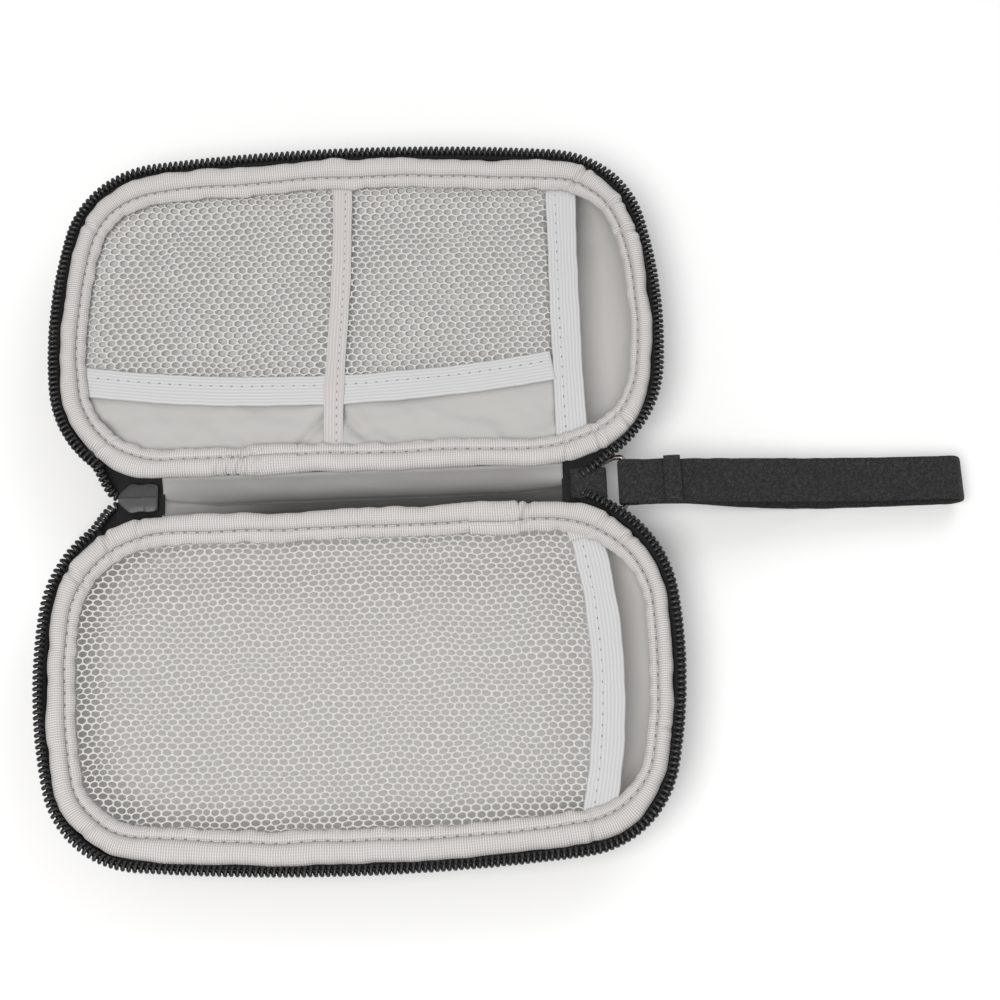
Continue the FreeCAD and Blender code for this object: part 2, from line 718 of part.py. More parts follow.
def beside(points, radii, offset):
    """The path that runs beside another at a distance to its left, seen with +Y away."""
    lines = []
    for start, end in zip(points, points[1:]):
        run = (end - start).normalize()
        shift = FreeCAD.Vector(-run.z, 0, run.x) * offset
        lines.append((start + shift, run, end + shift))
    moved = [lines[0][0]]
    sizes = [0]
    for index in range(1, len(points) - 1):
        here, before, _ = lines[index - 1]
        there, after, _ = lines[index]
        turn = before.x * after.z - before.z * after.x
        gap = there - here
        reach = (gap.x * after.z - gap.z * after.x) / turn
        moved.append(here + before * reach)
        sizes.append(radii[index] - math.copysign(offset, turn))
    return moved + [lines[-1][2]], sizes + [0]


def strap_route():
    """The strap's inner line, seen from the side, from its hem round the ring and the loop."""
    bar_x = value(RING_BAR_X)
    bar_z = value(ZIP_Z)
    bend = value("sizes.web_bend")
    half_ply = value("sizes.web_thick") / 2
    ply = half_ply + value("sizes.strap_ply_gap")
    hem = value("sizes.strap_hem_x")
    far = value("sizes.strap_far_x")
    bend_far = value("sizes.strap_far_bend")
    ground = value("sizes.web_thick")
    top = ground + 2 * bend_far
    run = [
        (hem, bar_z + ply, 0), (bar_x + 6, bar_z + ply, 3), (bar_x + 2.2, bar_z + bend, 3),
        (bar_x - bend, bar_z + bend, bend), (bar_x - bend, bar_z - bend, bend),
        (bar_x + 2.2, bar_z - bend, 3), (bar_x + 6, bar_z - ply, 3), (hem + 1, bar_z - ply, 30),
        (112, 10.5, 40), (128, 3.6, 60), (146, ground, 80), (far + bend_far, ground, bend_far),
        (far + bend_far, top, bend_far), (160, top + 0.9, 60), (134, 13.0, 120),
        (108, 17.4, 60), (hem + 1, bar_z - half_ply, 30),
        (value("sizes.strap_end_x"), bar_z - half_ply, 0),
    ]
    middle = value(FOLD_Y)
    return [FreeCAD.Vector(x, middle, z) for x, z, _ in run], [size for _, _, size in run]


def wrist_strap():
    """The wrist loop: one length of webbing, its hem folded down over both plies."""
    half = value("sizes.strap_half")
    points, radii = strap_route()
    inner = rounded_path(points, radii)
    outer_points, outer_radii = beside(points, radii, -value("sizes.web_thick"))
    outer = rounded_path(outer_points, outer_radii)
    caps = [Part.LineSegment(points[0], outer_points[0]).toShape(),
            Part.LineSegment(points[-1], outer_points[-1]).toShape()]
    face = Part.Face(Part.Wire(Part.__sortEdges__(inner.Edges + outer.Edges + caps)))
    face.translate(FreeCAD.Vector(0, -half, 0))
    solid = face.extrude(FreeCAD.Vector(0, 2 * half, 0))
    add_shape("wrist_strap", solid)


dishes = [dish("0"), dish("sizes.shell_thick"),
          dish("(sizes.shell_thick + sizes.foam_thick)"), dish(WALL)]
half_layers("front", dishes)
front_pocket()
back = half_layers("back", dishes) + back_pockets()
for piece in back:
    piece.setExpression("Placement.Base.y", "2 * " + FOLD_Y)
    piece.setExpression("Placement.Rotation.Axis.x", "0")
    piece.setExpression("Placement.Rotation.Axis.y", "0")
    piece.setExpression("Placement.Rotation.Axis.z", "1")
    piece.setExpression("Placement.Rotation.Angle", "180")
trough("spine_lining_strip", "0", "sizes.lining_thick")
trough("spine_outer_strip", "sizes.lining_thick", "sizes.shell_thick")
left_zip_end()
right_zip_end()
ring_tab()
zip_slider()
zip_puller()
d_ring()
wrist_strap()
doc.recompute()

for item in doc.Objects:
    if "Invalid" in item.State or "Error" in item.State:
        raise RuntimeError("%s did not compute: %s" % (item.Name, item.State))
for node in nodes:
    if node.Shape.isNull() or not node.Shape.isValid():
        raise RuntimeError("%s has no valid shape" % node.Label)

os.makedirs("parts", exist_ok=True)
for node in nodes:
    node.Shape.exportStep("parts/%s.step" % node.Label)
    box = node.Shape.BoundBox
    print("%-20s %9.1f mm3  x %.1f %.1f  y %.1f %.1f  z %.2f %.2f"
          % (node.Label, node.Shape.Volume, box.XMin, box.XMax, box.YMin, box.YMax,
             box.ZMin, box.ZMax))
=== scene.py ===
import math

import bpy
import numpy as np
from mathutils import Matrix, Vector, noise


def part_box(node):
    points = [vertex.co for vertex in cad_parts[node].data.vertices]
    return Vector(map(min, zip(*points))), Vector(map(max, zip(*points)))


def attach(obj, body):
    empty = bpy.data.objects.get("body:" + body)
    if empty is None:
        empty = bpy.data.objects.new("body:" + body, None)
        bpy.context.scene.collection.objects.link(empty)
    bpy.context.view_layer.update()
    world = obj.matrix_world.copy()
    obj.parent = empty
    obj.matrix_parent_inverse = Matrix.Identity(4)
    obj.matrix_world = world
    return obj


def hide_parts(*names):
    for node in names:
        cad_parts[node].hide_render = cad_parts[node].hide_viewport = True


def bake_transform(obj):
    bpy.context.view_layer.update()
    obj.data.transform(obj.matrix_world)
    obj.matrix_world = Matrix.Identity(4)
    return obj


# A cable organizer pouch lying open. Lengths in this script are millimetres until a mesh is made,
# when they become metres. Each half is drawn in its own frame, with the spine towards +Y, and the
# back half is then turned half a circle about the middle of the spine.

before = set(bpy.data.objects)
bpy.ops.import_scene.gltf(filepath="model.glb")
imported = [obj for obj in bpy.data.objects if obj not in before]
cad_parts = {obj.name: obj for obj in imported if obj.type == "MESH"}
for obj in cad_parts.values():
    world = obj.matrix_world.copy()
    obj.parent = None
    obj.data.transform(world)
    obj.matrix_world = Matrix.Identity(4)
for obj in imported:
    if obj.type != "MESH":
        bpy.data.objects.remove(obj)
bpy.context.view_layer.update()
MM = 0.001
PI = math.pi


def box_mm(node):
    low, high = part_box(node)
    return np.array(low) / MM, np.array(high) / MM


# ---- sizes from the frame
SHELL_LOW, SHELL_HIGH = box_mm("front_outer_shell")
HALF_WIDTH = SHELL_HIGH[0]
FRONT_REACH = -SHELL_LOW[1]
SPINE_REACH = SHELL_HIGH[1]
RIM_Z = SHELL_HIGH[2]
FOLD_Y = (SPINE_REACH + box_mm("back_outer_shell")[0][1]) / 2
BASE_ROUND = 13.0
FRONT_ARC, SIDE_ARC, FRONT_CORNER, SPINE_CORNER = 649.0, 149.0, 27.0, 33.0
ZIP_END_X = 77.5
SLIDER_LOW, SLIDER_HIGH = box_mm("zip_slider")
STRAP_LOW, STRAP_HIGH = box_mm("wrist_strap")
RING_LOW, RING_HIGH = box_mm("d_ring")
TAB_LOW, TAB_HIGH = box_mm("ring_tab")
STRIP_LOW, STRIP_HIGH = box_mm("spine_lining_strip")
ZIP_PLANE = (RING_LOW[2] + RING_HIGH[2]) / 2


# ---- the tray's outline
def section_lengths(run):
    """The distance along a run of points at each of them."""
    steps = np.linalg.norm(np.diff(run, axis=0), axis=1)
    return np.concatenate([[0], np.cumsum(steps)])


def corner_centre():
    """Centre of the corner arc between the front arc and the right side arc."""
    near_gap, side_gap = FRONT_ARC - FRONT_CORNER, SIDE_ARC - FRONT_CORNER
    front = Vector((0, FRONT_ARC - FRONT_REACH))
    side = Vector((HALF_WIDTH - SIDE_ARC, 0))
    span = (side - front).length
    along = (near_gap ** 2 - side_gap ** 2 + span ** 2) / (2 * span)
    off = math.sqrt(near_gap ** 2 - along ** 2)
    unit = (side - front) / span
    normal = Vector((-unit.y, unit.x))
    return max((front + unit * along + normal * s for s in (off, -off)), key=lambda p: p.x)


class Rim:
    """The tray's outline by distance along it, anticlockwise from the middle of the spine."""

    STEP = 0.1

    def __init__(self):
        near = corner_centre()
        side_x = HALF_WIDTH - SIDE_ARC
        far_y = SPINE_REACH - SPINE_CORNER
        far_x = side_x + math.sqrt((SIDE_ARC - SPINE_CORNER) ** 2 - far_y ** 2)
        top = math.atan2(far_y, far_x - side_x)
        low = math.atan2(near.y, near.x - side_x)
        bottom = math.atan2(near.y - (FRONT_ARC - FRONT_REACH), near.x)
        arcs = [
            ((far_x, far_y), SPINE_CORNER, top, PI / 2),
            ((side_x, 0), SIDE_ARC, low, top),
            ((near.x, near.y), FRONT_CORNER, bottom, low),
            ((0, FRONT_ARC - FRONT_REACH), FRONT_ARC, -PI / 2, bottom),
        ]
        points, normals = [], []
        count = int(far_x / self.STEP)
        for k in range(count):
            points.append((far_x * k / count, SPINE_REACH))
            normals.append((0, 1))
        for (cx, cy), radius, first, last in arcs:
            count = int(radius * (last - first) / self.STEP)
            for k in range(count):
                angle = last + (first - last) * k / count
                normals.append((math.cos(angle), math.sin(angle)))
                points.append((cx + radius * math.cos(angle), cy + radius * math.sin(angle)))

        def whole(right):
            """The right side's rows and their mirror images, from the middle of the spine."""
            ring = np.concatenate([right[:0:-1] * (-1, 1), right])[::-1]
            ring = np.roll(ring, 1 - len(right), axis=0)
            return np.vstack([ring, ring[:1]])

        self.points, self.normals = whole(np.array(points)), whole(np.array(normals))
        self.marks = section_lengths(self.points)
        self.length = self.marks[-1]

    def at(self, s):
        """Points and outward normals at distances s along the outline."""
        s = np.mod(s, self.length)
        pick = [np.interp(s, self.marks, column) for column in (*self.points.T, *self.normals.T)]
        size = np.hypot(pick[2], pick[3])
        return np.stack(pick[:2], -1), np.stack([pick[2] / size, pick[3] / size], -1)

    def nearest(self, x, y):
        """The distance along the outline of its point nearest to (x, y)."""
        gap = np.hypot(self.points[:-1, 0] - x, self.points[:-1, 1] - y)
        return self.marks[int(np.argmin(gap))]


RIM = Rim()


def inset_of(points):
    """How far each point of the half's own plane lies inside the outline."""
    sample = RIM.points[:-1:12]
    normal = RIM.normals[:-1:12]
    gap = points[:, None, :] - sample[None, :, :]
    pick = np.argmin((gap ** 2).sum(-1), axis=1)
    rows = np.arange(len(points))
    return -(gap[rows, pick] * normal[pick]).sum(-1)


def to_world(points, half):
    """Turn points of a half's own frame to the row frame."""
    points = np.asarray(points, float)
    if half == "front":
        return points
    return points * np.array((-1, -1, 1)) + np.array((0, 2 * FOLD_Y, 0))


def wave(values, scale, seed, octaves=3):
    """Smooth noise, about -1 to 1, of a column of distances or points."""
    values = np.atleast_2d(np.asarray(values, float))
    if values.shape[0] == 1:
        values = values.T
    pad = np.zeros((len(values), 3))
    pad[:, :values.shape[1]] = values / scale
    pad += seed * 7.31
    return np.array([noise.fractal(Vector(p), 1.0, 2.0, octaves) for p in pad]) * 1.6


def ring_wave(s, scale, seed, octaves=2):
    """Noise along the outline that is the same where the outline closes."""
    turn = 2 * PI * np.asarray(s) / RIM.length
    radius = RIM.length / (2 * PI * scale)
    circle = np.stack([np.cos(turn) * radius, np.sin(turn) * radius], -1)
    return wave(circle, 1.0, seed, octaves)


# ---- mesh helpers
def make_mesh(name, vertices_mm, faces, uvs=None, smooth=True):
    """A mesh object from vertices in millimetres; uvs has a row for each vertex."""
    mesh = bpy.data.meshes.new(name)
    face_list = faces if isinstance(faces, list) else np.asarray(faces).tolist()
    mesh.from_pydata((np.asarray(vertices_mm) * MM).tolist(), [], face_list)
    if uvs is not None:
        layer = mesh.uv_layers.new(name="UVMap")
        corner = np.zeros(len(mesh.loops), int)
        mesh.loops.foreach_get("vertex_index", corner)
        layer.data.foreach_set("uv", np.asarray(uvs, float)[corner].ravel())
    mesh.polygons.foreach_set("use_smooth", [smooth] * len(mesh.polygons))
    mesh.validate()
    piece = bpy.data.objects.new(name, mesh)
    bpy.context.scene.collection.objects.link(piece)
    return piece


def read_uv(piece):
    data = piece.data.uv_layers[0].data
    uv = np.zeros(len(data) * 2)
    data.foreach_get("uv", uv)
    return uv.reshape(-1, 2)


def write_uv(piece, uv):
    piece.data.uv_layers[0].data.foreach_set("uv", uv.ravel())


def grid_faces(rows, columns, loop_rows=False, loop_columns=False):
    """Quads over a grid of vertices numbered row by row."""
    r = np.arange(rows if loop_rows else rows - 1)
    c = np.arange(columns if loop_columns else columns - 1)
    r, c = (a.ravel() for a in np.meshgrid(r, c, indexing="ij"))
    r2, c2 = (r + 1) % rows, (c + 1) % columns
    return np.stack([r * columns + c, r * columns + c2, r2 * columns + c2, r2 * columns + c], -1)


def sweep_ring(name, half, s, offsets, heights, lengths, closed_ring=True):
    """A surface along the rim: offsets and heights are arrays (len(s), section points)."""
    base, normal = RIM.at(s)
    xy = base[:, None, :] + normal[:, None, :] * offsets[..., None]
    points = np.concatenate([xy, heights[..., None]], -1)
    rows, columns = offsets.shape
    faces = grid_faces(rows, columns, closed_ring, True)
    uvs = np.stack(np.broadcast_arrays(s[:, None], lengths[None, :]), -1).reshape(-1, 2)
    return make_mesh(name, to_world(points.reshape(-1, 3), half), faces, uvs)


def thicken(piece, thickness_mm, offset=0.0):
    modifier = piece.modifiers.new("Solidify", "SOLIDIFY")
    modifier.thickness = thickness_mm * MM
    modifier.offset = offset


def dress(piece, body, material, slot, *stands_for):
    """Give a piece its material, and let it ride on a body when one is given; the slot is not
    used.
    """
    piece.data.materials.append(material)
    if body:
        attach(piece, body)
    if stands_for:
        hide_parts(*stands_for)
    return piece


# ---- materials
class Nodes:
    """Short calls for building a node material."""

    def __init__(self, name, colour, roughness, **sockets):
        self.material = bpy.data.materials.new(name)
        self.material.use_nodes = True
        self.tree = self.material.node_tree
        self.shader = self.tree.nodes["Principled BSDF"]
        self.set(self.shader, "Base Color", (*colour, 1))
        self.set(self.shader, "Roughness", roughness)
        for key, amount in sockets.items():
            self.set(self.shader, key.replace("_", " "), amount)

    def set(self, node, socket, amount):
        node.inputs[socket].default_value = amount

    def add(self, kind, inputs=None, **settings):
        node = self.tree.nodes.new(kind)
        for key, amount in settings.items():
            setattr(node, key, amount)
        for key, source in (inputs or {}).items():
            if isinstance(source, bpy.types.NodeSocket):
                self.tree.links.new(source, node.inputs[key])
            else:
                node.inputs[key].default_value = source
        return node

    def link(self, source, socket):
        self.tree.links.new(source, self.shader.inputs[socket])

    def uv(self):
        return self.add("ShaderNodeUVMap", uv_map="UVMap").outputs["UV"]

    def place(self):
        return self.add("ShaderNodeTexCoord").outputs["Object"]

    def math(self, kind, first, second=0.0, third=0.0):
        node = self.add("ShaderNodeMath", {0: first, 1: second, 2: third}, operation=kind)
        return node.outputs[0]

    def split(self, vector):
        node = self.add("ShaderNodeSeparateXYZ", {0: vector})
        return node.outputs

    def ripple(self, distance, pitch):
        """A cosine of a distance, from 0 to 1, with crests a pitch apart."""
        turned = self.math("MULTIPLY", distance, 2 * PI / pitch)
        return self.math("MULTIPLY_ADD", self.math("COSINE", turned), 0.5, 0.5)

    def noise(self, vector, scale, detail=3.0, rough=0.55):
        node = self.add("ShaderNodeTexNoise", {"Vector": vector, "Scale": scale,
                                               "Detail": detail, "Roughness": rough})
        return node.outputs["Fac"]

    def mix(self, factor, first, second, blend="MIX"):
        node = self.add("ShaderNodeMix", data_type="RGBA", blend_type=blend)
        for socket, source in (("Factor", factor), ("A", first), ("B", second)):
            entry = [i for i in node.inputs if i.name == socket
                     and i.type == ("VALUE" if socket == "Factor" else "RGBA")][0]
            if isinstance(source, bpy.types.NodeSocket):
                self.tree.links.new(source, entry)
            else:
                entry.default_value = source if socket == "Factor" else (*source, 1)
        return [o for o in node.outputs if o.type == "RGBA"][0]

    def ramp(self, distance, start, end, low, high):
        """A smooth change from one number to another between two distances."""
        inputs = {"Value": distance, "From Min": start, "From Max": end,
                  "To Min": low, "To Max": high}
        return self.add("ShaderNodeMapRange", inputs,
                        interpolation_type="SMOOTHSTEP").outputs["Result"]

    def bump(self, height, strength, distance_mm, normal=None):
        inputs = {"Height": height, "Strength": strength, "Distance": distance_mm * MM}
        if normal is not None:
            inputs["Normal"] = normal
        return self.add("ShaderNodeBump", inputs).outputs["Normal"]


def shade(colour, factor):
    return tuple(min(1.0, c * factor) for c in colour)


LINING = (0.47, 0.46, 0.448)
BINDING = (0.65, 0.632, 0.622)
ELASTIC = (0.555, 0.558, 0.563)
DIVIDER = (0.54, 0.505, 0.50)
MESH = (0.61, 0.60, 0.585)
BLACK = (0.011, 0.011, 0.012)
CHARCOAL = (0.016, 0.016, 0.017)


BLOTCH = 0.12


def woven(name, colour, pitch, contrast, bump, roughness, sheen, fold=None):
    """Plain weave on the piece's texture coordinates, in millimetres; fold paints shade into a
    band along a crease.
    """
    n = Nodes(name, colour, roughness, Sheen_Weight=sheen, Sheen_Roughness=0.4,
              Specular_IOR_Level=0.35)
    u, v, _ = n.split(n.uv())
    warp = n.ripple(u, pitch)
    weft = n.ripple(v, pitch)
    checks = n.math("ABSOLUTE", n.math("SUBTRACT", warp, weft))
    place = n.place()
    cloud = n.noise(place, 55.0)
    tone = n.math("ADD", n.math("MULTIPLY", checks, contrast),
                  n.math("MULTIPLY", cloud, BLOTCH))
    cloth = n.mix(tone, shade(colour, 1.0 - contrast * 0.4), shade(colour, 1.0 + contrast * 0.6))
    # painted shade: fold darkens the colour towards an eighth of the cloth's over a band of
    # texture coordinates, where a crease lies in shade
    if fold:
        across, along = fold
        depth = n.math("MULTIPLY", n.ramp(v, *across), n.ramp(u, *along))
        cloth = n.mix(depth, cloth, shade(colour, 0.12))
    n.link(cloth, "Base Color")
    fine = n.bump(checks, bump, 0.10)
    n.link(n.bump(n.noise(place, 160.0), 0.25, 0.35, fine), "Normal")
    return n.material


GROOVE_V = 9.55  # where the seam lies across the binding's texture, and where its painted shade is centred


def grosgrain():
    """Ribbed binding tape: ribs across the tape, crossed by fine lengthwise threads, with painted
    shade along the seam's groove.
    """
    n = Nodes("binding_grosgrain", BINDING, 0.78, Sheen_Weight=0.3, Sheen_Roughness=0.35,
              Specular_IOR_Level=0.35)
    u, v, _ = n.split(n.uv())
    place = n.place()
    drift = n.math("MULTIPLY", n.noise(place, 260.0, 2.0), 0.5)
    ribs = n.ripple(n.math("ADD", u, drift), 0.72)
    threads = n.ripple(v, 0.80)
    weave = n.math("MULTIPLY", ribs, n.math("MULTIPLY_ADD", threads, 0.5, 0.5))
    dark = n.mix(weave, shade(BINDING, 0.66), shade(BINDING, 1.16))
    patches = n.mix(n.noise(place, 90.0), (0.93, 0.90, 0.89), (1, 1, 1))
    woven_colour = n.mix(1.0, dark, patches, "MULTIPLY")
    # painted shade: the colour darkens to about a third of the tape's in a narrow, uneven band at
    # the seam's groove, where shade falls between the tape's two rolls
    from_seam = n.math("ABSOLUTE", n.math("SUBTRACT", v, GROOVE_V))
    width = n.math("MULTIPLY_ADD", n.noise(place, 160.0), 0.55, 0.12)
    crease = n.math("MAXIMUM", n.math("SUBTRACT", 1.0, n.math("DIVIDE", from_seam, width)), 0.0)
    n.link(n.mix(n.math("MULTIPLY", crease, 0.75), woven_colour, shade(BINDING, 0.32)),
           "Base Color")
    n.link(n.bump(weave, 0.6, 0.24), "Normal")
    return n.material


def ribbed_elastic(name, colour, pitch=1.05):
    """Knitted elastic: ribs run along the band, with a fine diagonal stitch between them."""
    n = Nodes(name, colour, 0.72, Sheen_Weight=0.25, Specular_IOR_Level=0.35)
    u, v, _ = n.split(n.uv())
    ribs = n.ripple(v, pitch)
    knit = n.ripple(n.math("ADD", u, n.math("MULTIPLY", v, 0.7)), 0.52)
    height = n.math("MULTIPLY", n.math("MULTIPLY_ADD", ribs, 0.75, 0.25),
                    n.math("MULTIPLY_ADD", knit, 0.35, 0.65))
    n.link(n.mix(height, shade(colour, 0.80), shade(colour, 1.08)), "Base Color")
    n.link(n.bump(height, 0.5, 0.16), "Normal")
    return n.material


def mesh_thread():
    n = Nodes("mesh_thread", MESH, 0.7, Sheen_Weight=0.2, Specular_IOR_Level=0.4)
    place = n.place()
    n.link(n.mix(n.noise(place, 500.0), shade(MESH, 0.90), shade(MESH, 1.10)), "Base Color")
    n.link(n.bump(n.noise(place, 2600.0, 2.0), 0.35, 0.12), "Normal")
    return n.material


def heather(name, colour, pitch):
    """Heather twill: diagonal ribs, with paler flecks along the yarns."""
    n = Nodes(name, colour, 0.9, Sheen_Weight=0.05, Sheen_Roughness=0.5,
              Specular_IOR_Level=0.2)
    u, v, _ = n.split(n.uv())
    slant = n.ripple(n.math("ADD", u, v), pitch)
    cross = n.ripple(n.math("SUBTRACT", u, n.math("MULTIPLY", v, 0.4)), pitch * 0.7)
    place = n.place()
    fleck = n.math("POWER", n.noise(place, 1100.0, 2.0, 0.7), 3.0)
    height = n.math("MULTIPLY", slant, n.math("MULTIPLY_ADD", cross, 0.4, 0.6))
    tone = n.math("ADD", n.math("MULTIPLY", height, 0.5), n.math("MULTIPLY", fleck, 2.6))
    n.link(n.mix(tone, shade(colour, 0.45), shade(colour, 4.2)), "Base Color")
    n.link(n.bump(height, 0.8, 0.25), "Normal")
    return n.material


def nylon():
    n = Nodes("zip_nylon", (0.010, 0.010, 0.011), 0.33, Specular_IOR_Level=0.5)
    place = n.place()
    n.link(n.math("MULTIPLY_ADD", n.noise(place, 700.0), 0.25, 0.24), "Roughness")
    n.link(n.mix(n.noise(place, 300.0), (0.007, 0.007, 0.008), (0.016, 0.016, 0.017)),
           "Base Color")
    return n.material


def painted_metal(name, colour, roughness):
    n = Nodes(name, colour, roughness, Metallic=0.35, Specular_IOR_Level=0.5,
              Coat_Weight=0.15, Coat_Roughness=0.4)
    place = n.place()
    wear = n.noise(place, 900.0, 4.0, 0.65)
    n.link(n.mix(wear, shade(colour, 0.75), shade(colour, 1.35)), "Base Color")
    n.link(n.math("MULTIPLY_ADD", wear, 0.22, roughness - 0.1), "Roughness")
    n.link(n.bump(n.noise(place, 2200.0, 2.0), 0.12, 0.05), "Normal")
    return n.material


def plated_wire():
    n = Nodes("ring_plating", (0.20, 0.175, 0.17), 0.22, Metallic=1.0)
    place = n.place()
    n.link(n.mix(n.noise(place, 600.0), (0.13, 0.115, 0.115), (0.30, 0.25, 0.24)),
           "Base Color")
    n.link(n.math("MULTIPLY_ADD", n.noise(place, 900.0), 0.2, 0.14), "Roughness")
    return n.material


def thread(name, colour):
    n = Nodes(name, colour, 0.7, Sheen_Weight=0.2)
    n.link(n.bump(n.noise(n.place(), 3500.0, 1.0), 0.4, 0.08), "Normal")
    return n.material


# painted light: the tray's lining is the slip panel's cloth made a quarter brighter, standing in
# for light on the tray's shaded walls and floor
MAT_LINING_PAINTED_LIGHT = woven("lining_polyester_painted_light", shade(LINING, 1.25), 0.34, 0.10, 0.35, 0.62, 0.35)
# painted shade: the spine's lining is the slip panel's cloth made about a quarter darker for the
# shaded fold between the halves, and fold paints a much darker band along the fold's side nearer
# the front half
MAT_SPINE_PAINTED_SHADE = woven("spine_polyester_painted_shade", shade(LINING, 0.74), 0.34, 0.16, 0.4, 0.62, 0.3,
                  fold=((54.8, 51.4, 0.0, 0.9), (-56.0, -20.0, 0.15, 1.0)))
MAT_PANEL = woven("panel_polyester", LINING, 0.34, 0.10, 0.35, 0.60, 0.35)
MAT_BINDING = grosgrain()
MAT_ELASTIC = ribbed_elastic("folded_elastic", ELASTIC)
MAT_DIVIDER = ribbed_elastic("divider_elastic", DIVIDER, 0.95)
MAT_MESH = mesh_thread()
MAT_SHELL = heather("shell_heather", CHARCOAL, 0.8)
MAT_WEBBING = heather("strap_webbing", (0.0105, 0.0105, 0.011), 0.95)
MAT_TAPE = woven("zip_tape_weave", BLACK, 0.45, 0.5, 0.5, 0.9, 0.03)
MAT_NYLON = nylon()
MAT_SLIDER = painted_metal("slider_paint", (0.050, 0.050, 0.052), 0.5)
MAT_RING = plated_wire()
MAT_SHADOW_THREAD = thread("groove_thread", (0.20, 0.195, 0.19))
MAT_BLACK_THREAD = thread("black_thread", (0.006, 0.006, 0.006))


# ---- camera, floor and light
CAMERA_AT = (42.66, -109.6, 518.9)
CAMERA_TILT, CAMERA_ROLL, CAMERA_LENS = 17.47, -2.1, 62.6


def place_camera():
    data = bpy.data.cameras.new("camera")
    data.sensor_width = 36.0
    data.lens = CAMERA_LENS
    camera = bpy.data.objects.new("camera", data)
    bpy.context.scene.collection.objects.link(camera)
    tilt = Matrix.Rotation(math.radians(CAMERA_TILT), 4, "X")
    roll = Matrix.Rotation(math.radians(CAMERA_ROLL), 4, "Z")
    camera.matrix_world = Matrix.Translation(Vector(CAMERA_AT) * MM) @ tilt @ roll
    bpy.context.scene.camera = camera


def area_light(name, place, size, power, colour):
    data = bpy.data.lights.new(name, "AREA")
    data.shape = "DISK"
    data.size = size
    data.energy = power
    data.color = colour
    light = bpy.data.objects.new(name, data)
    bpy.context.scene.collection.objects.link(light)
    light.location = place
    aim = Vector((0.03, 0.05, 0.0)) - Vector(place)
    light.rotation_mode = "QUATERNION"
    light.rotation_quaternion = aim.to_track_quat("-Z", "Y")


FLOOR_REACH, FLOOR_GAP = 3000.0, 0.3


def studio():
    scene = bpy.context.scene
    scene.view_settings.view_transform = "Standard"
    world = bpy.data.worlds.new("studio")
    scene.world = world
    world.use_nodes = True
    sky = world.node_tree.nodes["Background"].inputs
    sky["Color"].default_value = (1, 1, 1, 1)
    sky["Strength"].default_value = 0.45
    area_light("key", (-0.22, -0.36, 1.10), 0.75, 11.0, (1.0, 0.99, 0.98))
    area_light("fill", (0.55, 0.75, 0.80), 0.7, 2.6, (0.98, 0.99, 1.0))
    corners = np.array([(-1, -1, 0), (1, -1, 0), (1, 1, 0), (-1, 1, 0)])
    floor = make_mesh("floor", corners * FLOOR_REACH, [(0, 1, 2, 3)], smooth=False)
    floor.location.z = -FLOOR_GAP * MM
    paper = Nodes("floor_paper", (0.90, 0.90, 0.90), 0.7, Specular_IOR_Level=0.2)
    paper.link(paper.bump(paper.noise(paper.place(), 900.0), 0.05, 0.1), "Normal")
    floor.data.materials.append(paper.material)


place_camera()
studio()


# ---- shells and linings
FLOOR_SHARES = (0.12, 0.28, 0.46, 0.64, 0.82)
BOWL_POINTS = 360
FLOOR_LINE_X, FLOOR_LINE_Y = 42, -6.0  # the floor's rows close in on this line
LINING_GAP, LINING_ROUND = 4.5, 9.0
WALL_THICK = 3.4


def bowl(name, half, insets, heights, uv_floor_from, bulge=0.0, crease=0.0, seed=1):
    """A tray surface: rings going inwards, then floor rows to a line along the middle."""
    s = np.linspace(0, RIM.length, BOWL_POINTS + 1)[:-1]
    base, normal = RIM.at(s)
    rows = []
    for inset, height in zip(insets, heights):
        free = math.sin(PI * min(max((height - 2) / 14, 0), 1))
        ripple = bulge * free * (1 + 0.5 * ring_wave(s, 22.0, seed + height * 0.02))
        xy = base - normal * (inset - ripple)[:, None]
        z = height + crease * ring_wave(s, 12.0, seed + 5 + inset * 0.05)
        rows.append(np.column_stack([xy, z]))
    edge = rows[-1][:, :2]
    middle = np.column_stack([np.clip(edge[:, 0], -FLOOR_LINE_X, FLOOR_LINE_X),
                              np.full(len(edge), FLOOR_LINE_Y)])
    for share in FLOOR_SHARES:
        xy = edge * (1 - share) + middle * share
        fade = min(1, share * 4, (FLOOR_SHARES[-1] - share) * 5)
        z = heights[-1] + crease * wave(xy, 14.0, seed + 9) * fade
        rows.append(np.column_stack([xy, z]))
    points = np.array(rows)
    lengths = section_lengths(np.column_stack([insets, heights]))
    wall_v = np.concatenate([lengths, np.full(len(FLOOR_SHARES), lengths[-1])])
    wall_uv = np.stack(np.broadcast_arrays(s[None, :], wall_v[:, None]), -1)
    faces = grid_faces(len(rows), len(s), False, True)[:, ::-1]
    centre = (len(rows) - 1) * len(s) + np.arange(len(s))
    shape = make_mesh(name, to_world(points.reshape(-1, 3), half),
                      faces.tolist() + [centre[::-1].tolist()], wall_uv.reshape(-1, 2))
    row_of = faces.min(1) // len(s)
    all_uv = read_uv(shape)
    corner_uv = all_uv[:faces.size].reshape(-1, 4, 2)
    flat = points[..., :2].reshape(-1, 2)[faces]
    corner_uv[row_of >= uv_floor_from] = flat[row_of >= uv_floor_from]
    ends = faces % len(s)
    crossing = (ends.max(1) - ends.min(1) > 2) & (row_of < uv_floor_from)
    corner_uv[crossing, :, 0] += np.where(ends[crossing] < 2, RIM.length, 0)
    all_uv[faces.size:] = points[-1, ::-1, :2]
    write_uv(shape, all_uv)
    return shape


def base_arc(radius, inset, floor, count):
    """The rounded corner between wall and floor, as insets and heights."""
    turn = np.linspace(0, PI / 2, count)
    return inset + radius * (1 - np.cos(turn)), floor + radius * (1 - np.sin(turn))


